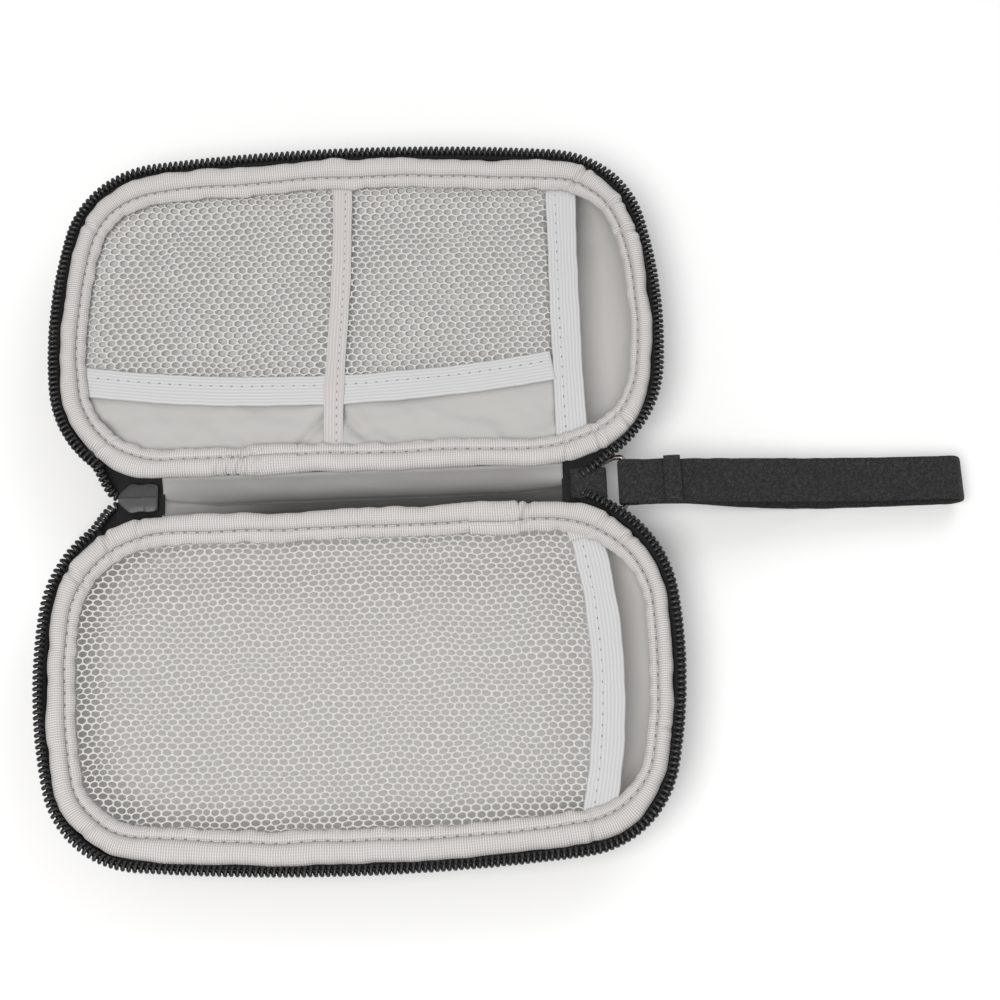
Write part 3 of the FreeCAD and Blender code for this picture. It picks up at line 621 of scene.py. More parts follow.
def build_shell(half):
    arc_in, arc_z = base_arc(BASE_ROUND, 0.0, 0.0, 10)
    insets = np.concatenate([[0.9, 0.25, 0.0, 0.0, 0.0], arc_in, [14.6, 15.4, 16.2, 19.0]])
    heights = np.concatenate([[RIM_Z - 0.15, RIM_Z - 0.5, RIM_Z - 1.4, 17.4, 15.2], arc_z,
                              [0.05, 0.75, 0.05, 0.0]])
    shell = bowl(half + "_shell", half, insets, heights, 16, bulge=0.7, seed=3)
    thicken(shell, WALL_THICK, -1.0)
    dress(shell, half + "_half", MAT_SHELL, "shell_fabric", half + "_outer_shell",
          half + "_foam_pad")


def build_lining(half):
    arc_in, arc_z = base_arc(LINING_ROUND, LINING_GAP, LINING_GAP, 8)
    insets = np.concatenate([[4.6, 4.3, 4.4], arc_in, [16.5, 19.5]])
    heights = np.concatenate([[RIM_Z - 0.2, 18.5, 16.0], arc_z, [LINING_GAP] * 2])
    lining = bowl(half + "_lining_bowl", half, insets, heights, 11, bulge=-0.5, crease=0.28,
                  seed=11 if half == "front" else 17)
    dress(lining, half + "_half", MAT_LINING_PAINTED_LIGHT, "lining", half + "_lining")


# ---- binding
BINDING_SECTION = [
    (0.1, 20.1), (0.55, 20.9), (0.5, 22.0), (-0.2, 23.0), (-1.6, 23.65), (-3.2, 23.8),
    (-4.5, 23.4), (-5.3, 22.6), (-5.65, 21.7), (-5.95, 21.6), (-6.3, 22.15), (-7.1, 22.3),
    (-8.2, 21.9), (-9.0, 21.1), (-9.2, 20.5), (-8.7, 20.2), (-6.0, 20.15), (-2.5, 20.1)]
GROOVE = (-5.8, 21.65)
BINDING_POINTS, SEAM_PITCH = 900, 3.7
LAP_ROWS, LAP_CENTRE = 24, np.array((-4.2, 21.6))


def binding_outline():
    """The binding's section with a point added in the middle of each of its runs."""
    section = np.array(BINDING_SECTION)
    middles = (section + np.roll(section, -1, axis=0)) / 2
    return np.concatenate([section, middles], 1).reshape(-1, 2)


BINDING_ENDS = {"front": (48, 46, 15.0), "back": (33, 46, 15.0)}
SIDE_WIDTHS = {"front": (0.68, 0.82), "back": (0.78, 0.66)}
PINCHES = {
    "front": [(-74, 36, 1.0), (-82, 26, 0.8), (-66, 43, 0.7), (50, 46, 1.1), (46.5, 46, 0.7),
              (84, -22, 0.5), (78, 32, 0.9), (72, 38, 0.7), (-76, -46, 0.6), (66, -51, 0.6)],
    "back": [(-82, -30, 1.0), (-78, -38, 0.9), (-70, -47, 1.1), (-73, 38, 1.0), (-79, 30, 0.9),
             (-64, 44, 0.7), (35, 46, 1.2), (38, 46, 0.9), (41, 46, 0.7), (32, 46, 0.7),
             (76, 34, 0.7), (80, -36, 0.6)]}


def binding_drift(half, s):
    """How far the whole binding strays outwards along the rim, in millimetres."""
    return 0.42 * ring_wave(s, 21.0, 141 if half == "front" else 149)


def side_width(half, normal):
    """How wide the binding is at each point of the rim: it is narrower round the short sides."""
    plus, minus = SIDE_WIDTHS[half]
    share = np.clip(np.abs(normal[:, 0]), 0, 1) ** 2.5
    return 1 - share * (1 - np.where(normal[:, 0] > 0, plus, minus))


def build_binding(half):
    """A folded ribbed tape round the rim, quilted by its seam into a wide and a narrow roll."""
    body = half + "_half"
    seed = 21 if half == "front" else 29
    s = np.linspace(0, RIM.length, BINDING_POINTS + 1)[:-1]
    section = binding_outline()
    off = np.repeat(section[None, :, 0], len(s), 0)
    height = np.repeat(section[None, :, 1], len(s), 0)
    base, normal = RIM.at(s)
    spine_side = np.clip((base[:, 1] - (SPINE_REACH - 1.2)) / 1.0, 0, 1)
    outer = np.clip((off + 5.6) / 5.6, 0, 1)
    inner = np.clip((-6.2 - off) / 2.0, 0, 1)
    top = np.clip((height - 21.0) / 1.5, 0, 1)
    sway = ring_wave(s, 16.0, seed)[:, None]
    quick_sway = ring_wave(s, 5.5, seed + 1)[:, None]
    gather = ring_wave(s, 3.2, seed + 2)[:, None]
    off = off + outer * (0.50 * sway + 0.18 * quick_sway) + inner * (0.34 * gather + 0.22 * sway)
    off = off - (spine_side[:, None] * 0.75) * outer + binding_drift(half, s)[:, None]
    height = height + top * (0.34 * sway * outer + 0.28 * quick_sway * outer
                             + (0.30 * gather + 0.20 * quick_sway) * inner)
    off = np.where(off < 0, off * side_width(half, normal)[:, None], off)
    for x, y, depth in PINCHES[half]:
        slant = (off + 4.0) * 0.28
        along_rim = np.mod(s - RIM.nearest(x, y) + RIM.length / 2, RIM.length)[:, None]
        gap = np.abs(along_rim - RIM.length / 2 + slant)
        fold = np.exp(-(gap / 0.75) ** 2) - 0.45 * np.exp(-((gap - 1.9) / 0.9) ** 2)
        height = height - top * fold * depth * 0.95
        off = off - outer * fold * depth * 0.35
    lengths = section_lengths(section)
    piece = sweep_ring(half + "_binding_tape", half, s, off, height, lengths)
    close_texture_seam(piece, RIM.length, lengths[-1] + 0.6)
    dress(piece, body, MAT_BINDING, "binding", half + "_binding")
    marks = np.arange(0, RIM.length - 2, SEAM_PITCH)
    spots, along = RIM.at(marks)
    seam = ((GROOVE[0] + binding_drift(half, marks)) * side_width(half, along))[:, None]
    places = np.column_stack([spots + along * seam, np.full(len(marks), GROOVE[1] + 0.16)])
    headings = np.column_stack([-along[:, 1], along[:, 0], np.zeros(len(marks))])
    stitches = stitch_mesh(half + "_binding_stitches", half, places, headings, 1.0, 0.15)
    dress(stitches, body, MAT_SHADOW_THREAD, "binding")


def binding_lap(half, x, y, length):
    """The tape's finishing end, folded over the tape where its round begins."""
    first = RIM.nearest(x, y)
    s = np.linspace(first, first + length, LAP_ROWS)
    section = binding_outline()
    swell = np.interp(np.arange(LAP_ROWS), [0, 0.6, 1.2, 12, 23],
                      [0.96, 1.05, 1.06, 1.05, 0.97])
    shape = LAP_CENTRE + (section - LAP_CENTRE)[None] * swell[:, None, None]
    shape[..., 0] += (binding_drift(half, s) - 0.5)[:, None]
    slant = (shape[..., 0] - LAP_CENTRE[0]) * 0.06
    base, normal = RIM.at(s)
    along = np.column_stack([-normal[:, 1], normal[:, 0]])
    xy = (base[:, None, :] + normal[:, None, :] * shape[..., :1]
          + along[:, None, :] * slant[..., None])
    ripple = 0.12 * wave(np.column_stack([s, s * 0]), 3.0, 131)[:, None]
    points = np.concatenate([xy, shape[..., 1:] + ripple[..., None]], -1)
    columns = len(section)
    faces = grid_faces(len(s), columns, False, True)
    uvs = np.stack(np.broadcast_arrays(s[:, None], section_lengths(section)[None]), -1)
    piece = make_mesh(half + "_binding_lap", to_world(points.reshape(-1, 3), half), faces,
                      uvs.reshape(-1, 2))
    dress(piece, half + "_half", MAT_BINDING, "binding")


def close_texture_seam(piece, ring_length, section_length):
    """Carry the texture on past the first row and column where a swept surface closes."""
    uv = read_uv(piece).reshape(-1, 4, 2)
    for axis, span in ((0, ring_length), (1, section_length)):
        reach = uv[..., axis].max(1) - uv[..., axis].min(1)
        wrap = reach > span * 0.5
        column = uv[wrap, :, axis]
        uv[wrap, :, axis] = np.where(column < span * 0.3, column + span, column)
    write_uv(piece, uv)


# ---- stitches
def stitch_mesh(name, half, places, headings, length, radius, up=(0, 0, 1)):
    """Short rounded threads lying along their headings, all in one mesh."""
    sides, ends = 6, np.array([(-0.5, 0.15), (-0.42, 0.75), (-0.2, 1.0), (0.2, 1.0),
                               (0.42, 0.75), (0.5, 0.15)])
    turn = np.arange(sides) * 2 * PI / sides
    up = np.broadcast_to(np.asarray(up, float), headings.shape)
    across = np.cross(headings, up)
    points, faces = [], []
    for spot, ahead, side, lift in zip(places, headings, across, up):
        first = len(points) * sides * len(ends)
        dip = 1 - (2 * ends[:, :1]) ** 2
        ring = (spot + ahead * ends[:, None, :1] * length
                + side * (np.cos(turn)[None, :, None] * ends[:, None, 1:] * radius)
                + lift * ((np.sin(turn)[None, :, None] * ends[:, None, 1:]
                           + dip[:, None] * 0.8 - 0.6) * radius))
        points.append(ring.reshape(-1, 3))
        faces.extend(grid_faces(len(ends), sides, False, True) + first)
    points = np.concatenate(points)
    if half:
        points = to_world(points, half)
    return make_mesh(name, points, faces)


# ---- zip chain
def smooth_run(start, start_way, finish, finish_way, count):
    """A curve between two points that leaves and arrives in the given directions."""
    t = np.linspace(0, 1, count)[:, None]
    a, b, c, d = (np.asarray(v, float) for v in (start, start_way, finish, finish_way))
    return ((2 * t ** 3 - 3 * t ** 2 + 1) * a + (t ** 3 - 2 * t ** 2 + t) * b
            + (-2 * t ** 3 + 3 * t ** 2) * c + (t ** 3 - t ** 2) * d)


CHAIN_OFF, CHAIN_Z = 2.55, 22.6
TAIL_X, TAIL_Z = 66.0, ZIP_PLANE + 0.9
NOSE_X, NOSE_Z = abs(SLIDER_LOW[0] - 1.0), ZIP_PLANE - 0.3


def chain_path(half):
    """The chain's centre line in the half's own frame, from its slider end."""
    side = -1 if half == "front" else 1
    s_slider = RIM.nearest(side * ZIP_END_X, SPINE_REACH - 8)
    s_ring = RIM.nearest(-side * ZIP_END_X, SPINE_REACH - 8)
    s = np.arange(s_slider, s_ring, -side * 0.5)
    base, normal = RIM.at(s)
    rim = np.column_stack([base + normal * CHAIN_OFF, np.full(len(s), CHAIN_Z)])
    start_way, end_way = rim[0] - rim[1], rim[-1] - rim[-2]
    nose = (side * NOSE_X, FOLD_Y - 1.7, NOSE_Z)
    slider_lead = smooth_run(nose, (side * 7, -1.5, 1.5), rim[0], -start_way * 14, 24)
    tail = (-side * TAIL_X, FOLD_Y - 2.3, TAIL_Z)
    ring_lead = smooth_run(rim[-1], end_way * 16, tail, (side * 8, 0.5, -1.0), 30)
    path = np.concatenate([slider_lead[:-1], rim, ring_lead[1:]])
    return resample(path, 0.5)


def resample(path, step):
    """Points an even step apart along a run of points."""
    marks = section_lengths(path)
    fresh = np.linspace(0, marks[-1], max(2, int(round(marks[-1] / step)) + 1))
    return np.column_stack([np.interp(fresh, marks, column) for column in path.T])


def unit(vectors):
    return vectors / np.linalg.norm(vectors, axis=-1, keepdims=True)


def frames_along(path):
    """The way ahead, the side away from the tray and the way up at each point of a path."""
    ahead = unit(np.gradient(path, axis=0))
    up = np.broadcast_to(np.array((0.0, 0.0, 1.0)), ahead.shape)
    side = unit(np.cross(ahead, up))
    return ahead, side, np.cross(side, ahead)


PITCH = 1.7
TURN_POINTS = 15
TUBE_SIDES = 7
LOOP_HALF_WIDTH, LOOP_HALF_HEIGHT = 1.0, 0.78
WIRE_RADIUS, TOOTH_SWELL = 0.54, 0.12
TAPE_SECTION = np.array([(0.25, 16.2), (0.35, 18.4), (0.5, 20.2), (0.8, 21.4), (1.4, 21.9),
                         (2.95, 21.95), (3.0, 21.4), (1.9, 21.2), (1.3, 20.6), (0.95, 19.7),
                         (0.75, 18.2), (0.65, 16.2)])
WEB_X = {True: 58.6, False: 61.6}  # where each end patch meets the spine's lining


def build_coil(half):
    """A spiral of monofilament along the chain's line, flattened like a zip's coil."""
    path = chain_path(half)
    ahead, side, up = frames_along(path)
    if half == "back":
        side = -side
    marks = section_lengths(path)
    turns = int(marks[-1] / PITCH)
    phase = np.arange(turns * TURN_POINTS) / TURN_POINTS
    part = phase % 1.0
    drift = np.where(part < 0.5, part * 0.36, 0.18 + (part - 0.5) * 1.64)
    travel = (np.floor(phase) + drift) * PITCH
    centre, ahead, side, up = (
        np.column_stack([np.interp(travel, marks, column) for column in field.T])
        for field in (path, ahead, side, up))
    angle = part * 2 * PI
    wide = np.sign(np.cos(angle)) * np.abs(np.cos(angle)) ** 0.7
    tall = np.sign(np.sin(angle)) * np.abs(np.sin(angle)) ** 0.8
    wobble = 1 + 0.05 * wave(travel, 2.0, 41, 1)
    line = (centre + side * (wide * LOOP_HALF_WIDTH * wobble)[:, None]
            + up * (tall * LOOP_HALF_HEIGHT)[:, None])
    way = unit(np.gradient(line, axis=0))
    first = unit(np.cross(way, ahead))
    second = np.cross(way, first)
    turn = np.arange(TUBE_SIDES) * 2 * PI / TUBE_SIDES
    thick = WIRE_RADIUS + TOOTH_SWELL * np.clip(np.cos(angle), 0, 1) ** 2
    ring = (line[:, None, :] + (first[:, None, :] * np.cos(turn)[None, :, None]
            + second[:, None, :] * np.sin(turn)[None, :, None]) * thick[:, None, None])
    faces = grid_faces(len(line), TUBE_SIDES, False, True)
    coil = make_mesh(half + "_coil", to_world(ring.reshape(-1, 3), half), faces)
    dress(coil, None, MAT_NYLON, "zip_coil", half + "_zip_coil")
    hang_on_spine(coil, half)


def hang_on_spine(piece, half):
    """Bake the world transform into a piece that runs from a half to the spine."""
    if half == "front":
        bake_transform(piece)
    else:
        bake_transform(piece)


def build_tape(half):
    """Woven tape from the rim's seam out to the coil."""
    side = -1 if half == "front" else 1
    s_slider = RIM.nearest(side * (ZIP_END_X - 3), SPINE_REACH - 8)
    s_ring = RIM.nearest(-side * (ZIP_END_X - 3), SPINE_REACH - 8)
    low, high = sorted((s_slider, s_ring))
    s = np.linspace(low, high, 420)
    off = np.repeat(TAPE_SECTION[None, :, 0], len(s), 0) + 0.12 * wave(s, 7.0, 51)[:, None]
    height = np.repeat(TAPE_SECTION[None, :, 1], len(s), 0)
    tape = sweep_ring(half + "_tape", half, s, off, height, section_lengths(TAPE_SECTION), False)
    dress(tape, half + "_half", MAT_TAPE, "zip_tape", half + "_zip_tape")


def web(half, at_slider):
    """The black end patch between one half's rim and the middle of the spine."""
    side = (-1 if half == "front" else 1) * (1 if at_slider else -1)
    path = chain_path(half)
    inner_x = WEB_X[at_slider]
    lead = path[:70] if at_slider else path[::-1][:70]
    lead = lead[np.abs(lead[:, 0]) < ZIP_END_X + 3.0]
    lead = lead[np.argsort(-np.abs(lead[:, 0]))]
    tip = lead[-1]
    xs = np.linspace(abs(tip[0]) - 0.4, inner_x, 22)
    rest = np.column_stack([side * xs, np.minimum(FOLD_Y, tip[1] + 0.7 + (abs(tip[0]) - xs) * 0.9),
                            np.full(22, ZIP_PLANE + 0.25)])
    far = np.concatenate([lead - np.array((0, 0.2, 0.75)), rest])
    s_far = RIM.nearest(side * (ZIP_END_X + 2.0), SPINE_REACH - 10)
    s_near = RIM.nearest(side * inner_x, SPINE_REACH)
    s = np.interp(np.abs(far[:, 0]), [inner_x, ZIP_END_X + 3.0], [s_near, s_far])
    base, normal = RIM.at(s)
    near = np.column_stack([base - normal * 0.8, np.full(len(s), RIM_Z - 0.3)])
    rows = []
    for share in np.linspace(0, 1, 9):
        row = near * (1 - share) + far * share
        row[:, 2] -= 1.0 * math.sin(PI * share) + 0.12 * wave(row[:, :2], 5.0, 61)
        rows.append(row)
    points = np.array(rows)
    faces = grid_faces(9, len(far))
    uvs = points[..., :2].reshape(-1, 2)
    end = "left" if at_slider else "right"
    patch = make_mesh(f"zip_web_{end}_{half}", to_world(points.reshape(-1, 3), half), faces, uvs)
    thicken(patch, 0.5)
    dress(patch, None, MAT_TAPE, "zip_tape", "zip_end_" + end)
    hang_on_spine(patch, half)


# ---- nets
CELL = 12  # points round a hole


def net(name, half, inside, low, high, pitch_x, pitch_y, hole, hexagon, height_at, seed):
    """Knitted mesh: holes in staggered rows, between strands that meet their neighbours'."""
    across, tall = pitch_x / 2, pitch_y * 2 / 3
    corners = np.array([(across, -tall / 2), (across, tall / 2), (0, tall), (-across, tall / 2),
                        (-across, -tall / 2), (0, -tall)])
    edge = np.stack([corners, (corners + np.roll(corners, -1, axis=0)) / 2], 1).reshape(-1, 2)
    angle = np.arctan2(edge[:, 1], edge[:, 0])
    oval = np.column_stack([np.cos(angle) * hole[0], np.sin(angle) * hole[1]])
    inner = oval * (1 - hexagon) + edge * hexagon * 0.80
    rows = np.arange(int((high[1] - low[1]) / pitch_y) + 2)
    columns = np.arange(int((high[0] - low[0]) / pitch_x) + 2)
    r, c = (a.ravel() for a in np.meshgrid(rows, columns, indexing="ij"))
    centres = np.column_stack([low[0] + (c + (r % 2) * 0.5) * pitch_x, low[1] + r * pitch_y])
    centres = centres[inside(centres)]
    between = (edge + inner) / 2
    rings = [(edge, 0.14), (between, 0.09), (inner, -0.16)]
    points = np.concatenate([np.concatenate([centres[:, None, :] + ring[None],
                                             np.full((len(centres), CELL, 1), lift)], -1)
                             for ring, lift in rings], 1)
    cell = np.arange(len(centres))[:, None] * CELL * len(rings)
    k = np.arange(CELL)
    after = (k + 1) % CELL
    quads = [np.stack([cell + a + k, cell + a + after, cell + a + CELL + after,
                       cell + a + CELL + k], -1).reshape(-1, 4) for a in (0, CELL)]
    faces = np.concatenate(quads)
    points = points.reshape(-1, 3)
    key = np.round(points[:, :2] / 0.02).astype(int)
    _, first, same = np.unique(key, axis=0, return_index=True, return_inverse=True)
    points, faces = points[first], same.ravel()[faces]
    plan = points[:, :2].copy()
    shift = np.column_stack([wave(plan, 15.0, seed), wave(plan, 15.0, seed + 1)])
    jitter = np.column_stack([wave(plan, 1.6, seed + 2, 1), wave(plan, 1.6, seed + 3, 1)])
    points[:, :2] += shift * 0.65 + jitter * 0.06
    points[:, 2] += height_at(plan)
    return make_mesh(name, to_world(points, half), faces)


def patch_grid(name, half, inside, low, high, step, height_at, rim_inset):
    """A sheet over part of a tray on a square grid, its rim edge drawn in to one inset."""
    xs = np.arange(low[0], high[0] + step / 2, step)
    ys = np.arange(low[1], high[1] + step / 2, step)
    x, y = (a.ravel() for a in np.meshgrid(xs, ys, indexing="ij"))
    plan = np.column_stack([x, y])
    faces = grid_faces(len(xs), len(ys))
    faces = faces[inside(plan[faces].mean(1))]
    used, faces = np.unique(faces, return_inverse=True)
    faces = faces.reshape(-1, 4)
    plan = plan[used]
    for k in np.nonzero(inset_of(plan) < rim_inset)[0]:
        base, normal = RIM.at(np.array([RIM.nearest(*plan[k])]))
        plan[k] = (base - normal * rim_inset)[0]
    points = np.column_stack([plan, height_at(plan)])
    return make_mesh(name, to_world(points, half), faces, plan)


def strip_section(share, crown):
    """A closed section from its upper side: places across it, and heights above its middle."""
    share, crown = np.array(share), np.array(crown)
    return np.concatenate([share, share[-2:0:-1]]), np.concatenate([crown, -crown[-2:0:-1]])


BAND_SECTION = strip_section([-0.5, -0.49, -0.46, -0.38, -0.2, 0, 0.2, 0.38, 0.46, 0.49, 0.5],
                             [0.0, 0.3, 0.46, 0.5, 0.5, 0.5, 0.5, 0.5, 0.46, 0.3, 0.0])
WEBBING_SECTION = strip_section(
    [-0.5, -0.492, -0.47, -0.40, -0.25, 0, 0.25, 0.40, 0.47, 0.492, 0.5],
    [0.0, 0.26, 0.42, 0.5, 0.48, 0.5, 0.48, 0.5, 0.42, 0.26, 0.0])
BAND_STEP, WEBBING_STEP = 0.9, 0.55


def ribbon(name, half, spine_line, width, thickness, rise, edge_wave, seed):
    """A flat band along a run of points: rounded edges, its texture along and across it."""
    path = resample(np.asarray(spine_line, float), BAND_STEP)
    _, side, up = frames_along(path)
    marks = np.arange(len(path)) * BAND_STEP
    share, crown = BAND_SECTION
    wobble = edge_wave * wave(marks, 9.0, seed)[:, None] * np.sign(share)[None, :]
    lift = rise * wave(np.column_stack([marks, marks * 0]), 14.0, seed + 3)[:, None]
    points = (path[:, None, :] + side[:, None, :] * (share * width + wobble)[..., None]
              + up[:, None, :] * (crown * thickness + lift)[..., None])
    faces = grid_faces(len(path), len(share), False, True)
    last = (len(path) - 1) * len(share)
    caps = [list(range(len(share)))[::-1], list(range(last, last + len(share)))]
    uvs = np.stack(np.broadcast_arrays(marks[:, None], share[None] * width), -1)
    return make_mesh(name, to_world(points.reshape(-1, 3), half), faces.tolist() + caps,
                     uvs.reshape(-1, 2))


def stitch_line(name, half, path, pitch, length, radius, lift, material, slot_name, body):
    """A line of stitches along a run of points."""
    path = resample(np.asarray(path, float), pitch)[1:-1]
    ahead, _, up = frames_along(path)
    piece = stitch_mesh(name, half, path + up * lift, ahead, length, radius)
    return dress(piece, body, material, slot_name)


def band_stitches(name, half, seam, lift, pitch=3.2, length=0.8, radius=0.14, slot="elastic"):
    stitch_line(name, half, seam, pitch, length, radius, lift, MAT_SHADOW_THREAD, slot,
                half + "_half")


def arc_points(centre, radius, first_y, last_y, z):
    """Points along a circle's right side between two values of y."""
    y = np.linspace(first_y, last_y, 60)
    x = centre[0] + np.sqrt(radius ** 2 - (y - centre[1]) ** 2)
    return np.column_stack([x, y, np.broadcast_to(z, y.shape)])


def flat_arc(centre, radius, first_x, last_x, z):
    """Points along a circle's upper side between two values of x."""
    x = np.linspace(first_x, last_x, 80)
    y = centre[1] + np.sqrt(radius ** 2 - (x - centre[0]) ** 2)
    return np.column_stack([x, y, np.broadcast_to(z, x.shape)])


def dist(points, centre):
    return np.hypot(points[:, 0] - centre[0], points[:, 1] - centre[1])


TUCK = 5.4
FRONT_CENTRE = np.array((-117.4, -5.0))
FRONT_NET_R, FRONT_BAND_R = 185.0, 194.6


def band_end(name, half, line, width):
    """A folded scrap of binding over the end of an elastic band, where it enters the rim."""
    piece = ribbon(name, half, line, width, 1.5, 0.1, 0.2, 137)
    write_uv(piece, read_uv(piece)[:, ::-1])
    dress(piece, half + "_half", MAT_BINDING, "binding")


def front_pocket():
    body = "front_half"

    def inside(p):
        return (inset_of(p) > TUCK) & (dist(p, FRONT_CENTRE) < FRONT_NET_R + 0.6)

    def height(p):
        middle = np.clip(inset_of(p) / 30, 0, 1)
        slack = wave(p @ np.array(((0.8, 0.5), (-0.3, 1.6))).T, 16.0, 71, 2)
        return 19.5 - 0.9 * middle + 0.60 * slack * middle

    mesh = net("front_net", "front", inside, (-92, -60), (72, 48), 2.8, 1.75, (1.19, 0.85),
               0.0, height, 73)
    dress(mesh, body, MAT_MESH, "mesh", "front_mesh_pocket")
    radius = (FRONT_NET_R + FRONT_BAND_R) / 2
    line = arc_points(FRONT_CENTRE, radius, -50.6, 38.6, 19.7)
    band = ribbon("front_net_band", "front", line, FRONT_BAND_R - FRONT_NET_R, 1.0, 0.12, 0.15, 77)
    dress(band, body, MAT_ELASTIC, "elastic", "front_mesh_elastic")
    band_end("front_band_end", "front", arc_points(FRONT_CENTRE, radius, 34.6, 39.6, 20.3), 11.2)
    seam = arc_points(FRONT_CENTRE, FRONT_NET_R + 3.0, -50, 35, 20.2)
    band_stitches("front_net_band_stitches", "front", seam, 0.04)


BACK_NET_CENTRE = np.array((12.0, -442.8))
BACK_NET_R, BACK_BAND_R = 457.0, 466.6
DIVIDER_X = 7  # where the divider meets the spine side of the back tray
SLIP_EDGE, SLIP_BAND_EDGE = -60.7, -70.3


def back_pockets():
    body = "back_half"

    def inside(p):
        return ((inset_of(p) > TUCK) & (dist(p, BACK_NET_CENTRE) < BACK_NET_R + 0.6)
                & (p[:, 0] > SLIP_EDGE + 0.2))

    def net_height(p):
        middle = np.clip(np.minimum(inset_of(p), p[:, 0] - SLIP_EDGE + 2) / 28, 0, 1)
        slack = wave(p @ np.array(((0.7, -0.7), (1.8, 1.8))).T, 20.0, 81, 2)
        near_divider = np.exp(-((p[:, 0] - 5.5) / 9) ** 2)
        return 19.45 - 0.7 * middle * (1 - near_divider) + 0.60 * slack * middle

    mesh = net("back_net", "back", inside, (-61.2, -60), (92, 18), 2.9, 1.95, (1.25, 0.97),
               0.2, net_height, 83)
    dress(mesh, body, MAT_MESH, "mesh", "back_mesh_pocket")

    def panel_inside(p):
        return (inset_of(p) > TUCK - 0.6) & (p[:, 0] > SLIP_EDGE)

    def panel_height(p):
        open_part = np.clip((p[:, 1] - 18) / 10, 0, 1)
        long_folds = wave(p * np.array((0.35, 1.0)), 7.0, 91, 3)
        creases = wave(p @ np.array(((0.9, 0.9), (-0.4, 0.4))).T, 8.0, 93, 2)
        across = p[:, 0] - DIVIDER_X
        pull = np.exp(-(np.abs(across) / 26) ** 2) * np.clip((p[:, 1] - 14) / 14, 0, 1)
        folds = np.sin(across * 0.16 + np.abs(p[:, 1] - 28) * 0.22 + 0.8 * creases)
        sunk = np.clip(np.minimum(inset_of(p) - 7, 18 - p[:, 1]) / 9, 0, 1)
        beside = np.abs(across) - (p[:, 1] - 24) * 0.9
        tuck = np.exp(-(beside / 1.7) ** 2) * np.clip((p[:, 1] - 22) / 5, 0, 1)
        rim_fold = np.clip((14 - inset_of(p)) / 8, 0, 1) * np.sin(p[:, 0] * 0.42 + 2.2 * creases)
        return (18.5 + open_part * (0.70 * long_folds + 0.45 * creases + 0.75 * rim_fold)
                + pull * 0.50 * folds - 1.7 * tuck * open_part - sunk * (2.1 + 0.5 * creases))

    panel = patch_grid("back_slip_cloth", "back", panel_inside, (SLIP_EDGE, -60), (92, 48), 1.1,
                       panel_height, TUCK)
    thicken(panel, 0.35)
    dress(panel, body, MAT_PANEL, "lining", "back_slip_pocket")

    x_band = (SLIP_EDGE + SLIP_BAND_EDGE) / 2
    y = np.linspace(-51.0, 40.0, 80)
    bow = 0.5 * np.cos(y / 30)
    line = np.column_stack([x_band + bow, y, np.full(80, 19.3)])
    band = ribbon("back_slip_band", "back", line, abs(SLIP_BAND_EDGE - SLIP_EDGE) - 0.2, 1.15,
                  0.12, 0.15, 95)
    dress(band, body, MAT_ELASTIC, "elastic", "back_slip_elastic")
    seam = line + np.array((1.8, 0, 0.55))
    band_stitches("back_slip_band_stitches", "back", seam, 0.05)

    radius = (BACK_NET_R + BACK_BAND_R) / 2
    x = np.linspace(-60.4, 85.6, 90)
    lift = 0.45 * np.exp(-((x - 22) / 12) ** 2) + 0.45 * np.exp(-((x + 12) / 12) ** 2)
    line = flat_arc(BACK_NET_CENTRE, radius, x[0], x[-1], 19.65)
    line[:, 2] += np.interp(line[:, 0], x, lift)
    band = ribbon("back_net_band", "back", line, BACK_BAND_R - BACK_NET_R, 0.9, 0.10, 0.15, 97)
    dress(band, body, MAT_ELASTIC, "elastic", "back_mesh_elastic")
    seam = flat_arc(BACK_NET_CENTRE, BACK_NET_R + 3.2, -60, 83, 20.1)
    seam[:, 2] += np.interp(seam[:, 0], x, lift)
    band_stitches("back_net_band_stitches", "back", seam, 0.05)

    y = np.linspace(-52.5, 40.5, 90)
    run = np.column_stack([3.2 + (y + 58.3) * 4.6 / 104.3 + 0.35 * np.sin(y / 13), y,
                           19.95 + 0.55 * np.exp(-((y - 19) / 5.5) ** 2)
                           - 1.0 * np.clip((y - 26) / 6, 0, 1)])
    band = ribbon("back_divider_tape", "back", run, 6.0, 0.9, 0.08, 0.12, 99)
    dress(band, body, MAT_DIVIDER, "divider", "back_divider_band")
    seam = run + np.array((-0.9, 0, 0.47))
    band_stitches("back_divider_stitches", "back", seam, 0.04, 2.6, 0.9, 0.12, "divider")


# ---- spine
EDGE_Z, STRIP_END_GAP = 20.5, 0.4
VALLEY_Y = np.array((45.5, 46.2, 46.6, 47.3, 48.2, 49.2, 50.1, 51.0, 51.9))
VALLEY_Z = {"front": np.array((19.3, 17.2, 14.6, 12.5, 11.0, 10.1, 9.9, 10.2, 10.8)),
            "back": np.array((20.5, 20.3, 19.5, 18.6, 17.5, 16.1, 14.4, 12.6, 10.8))}


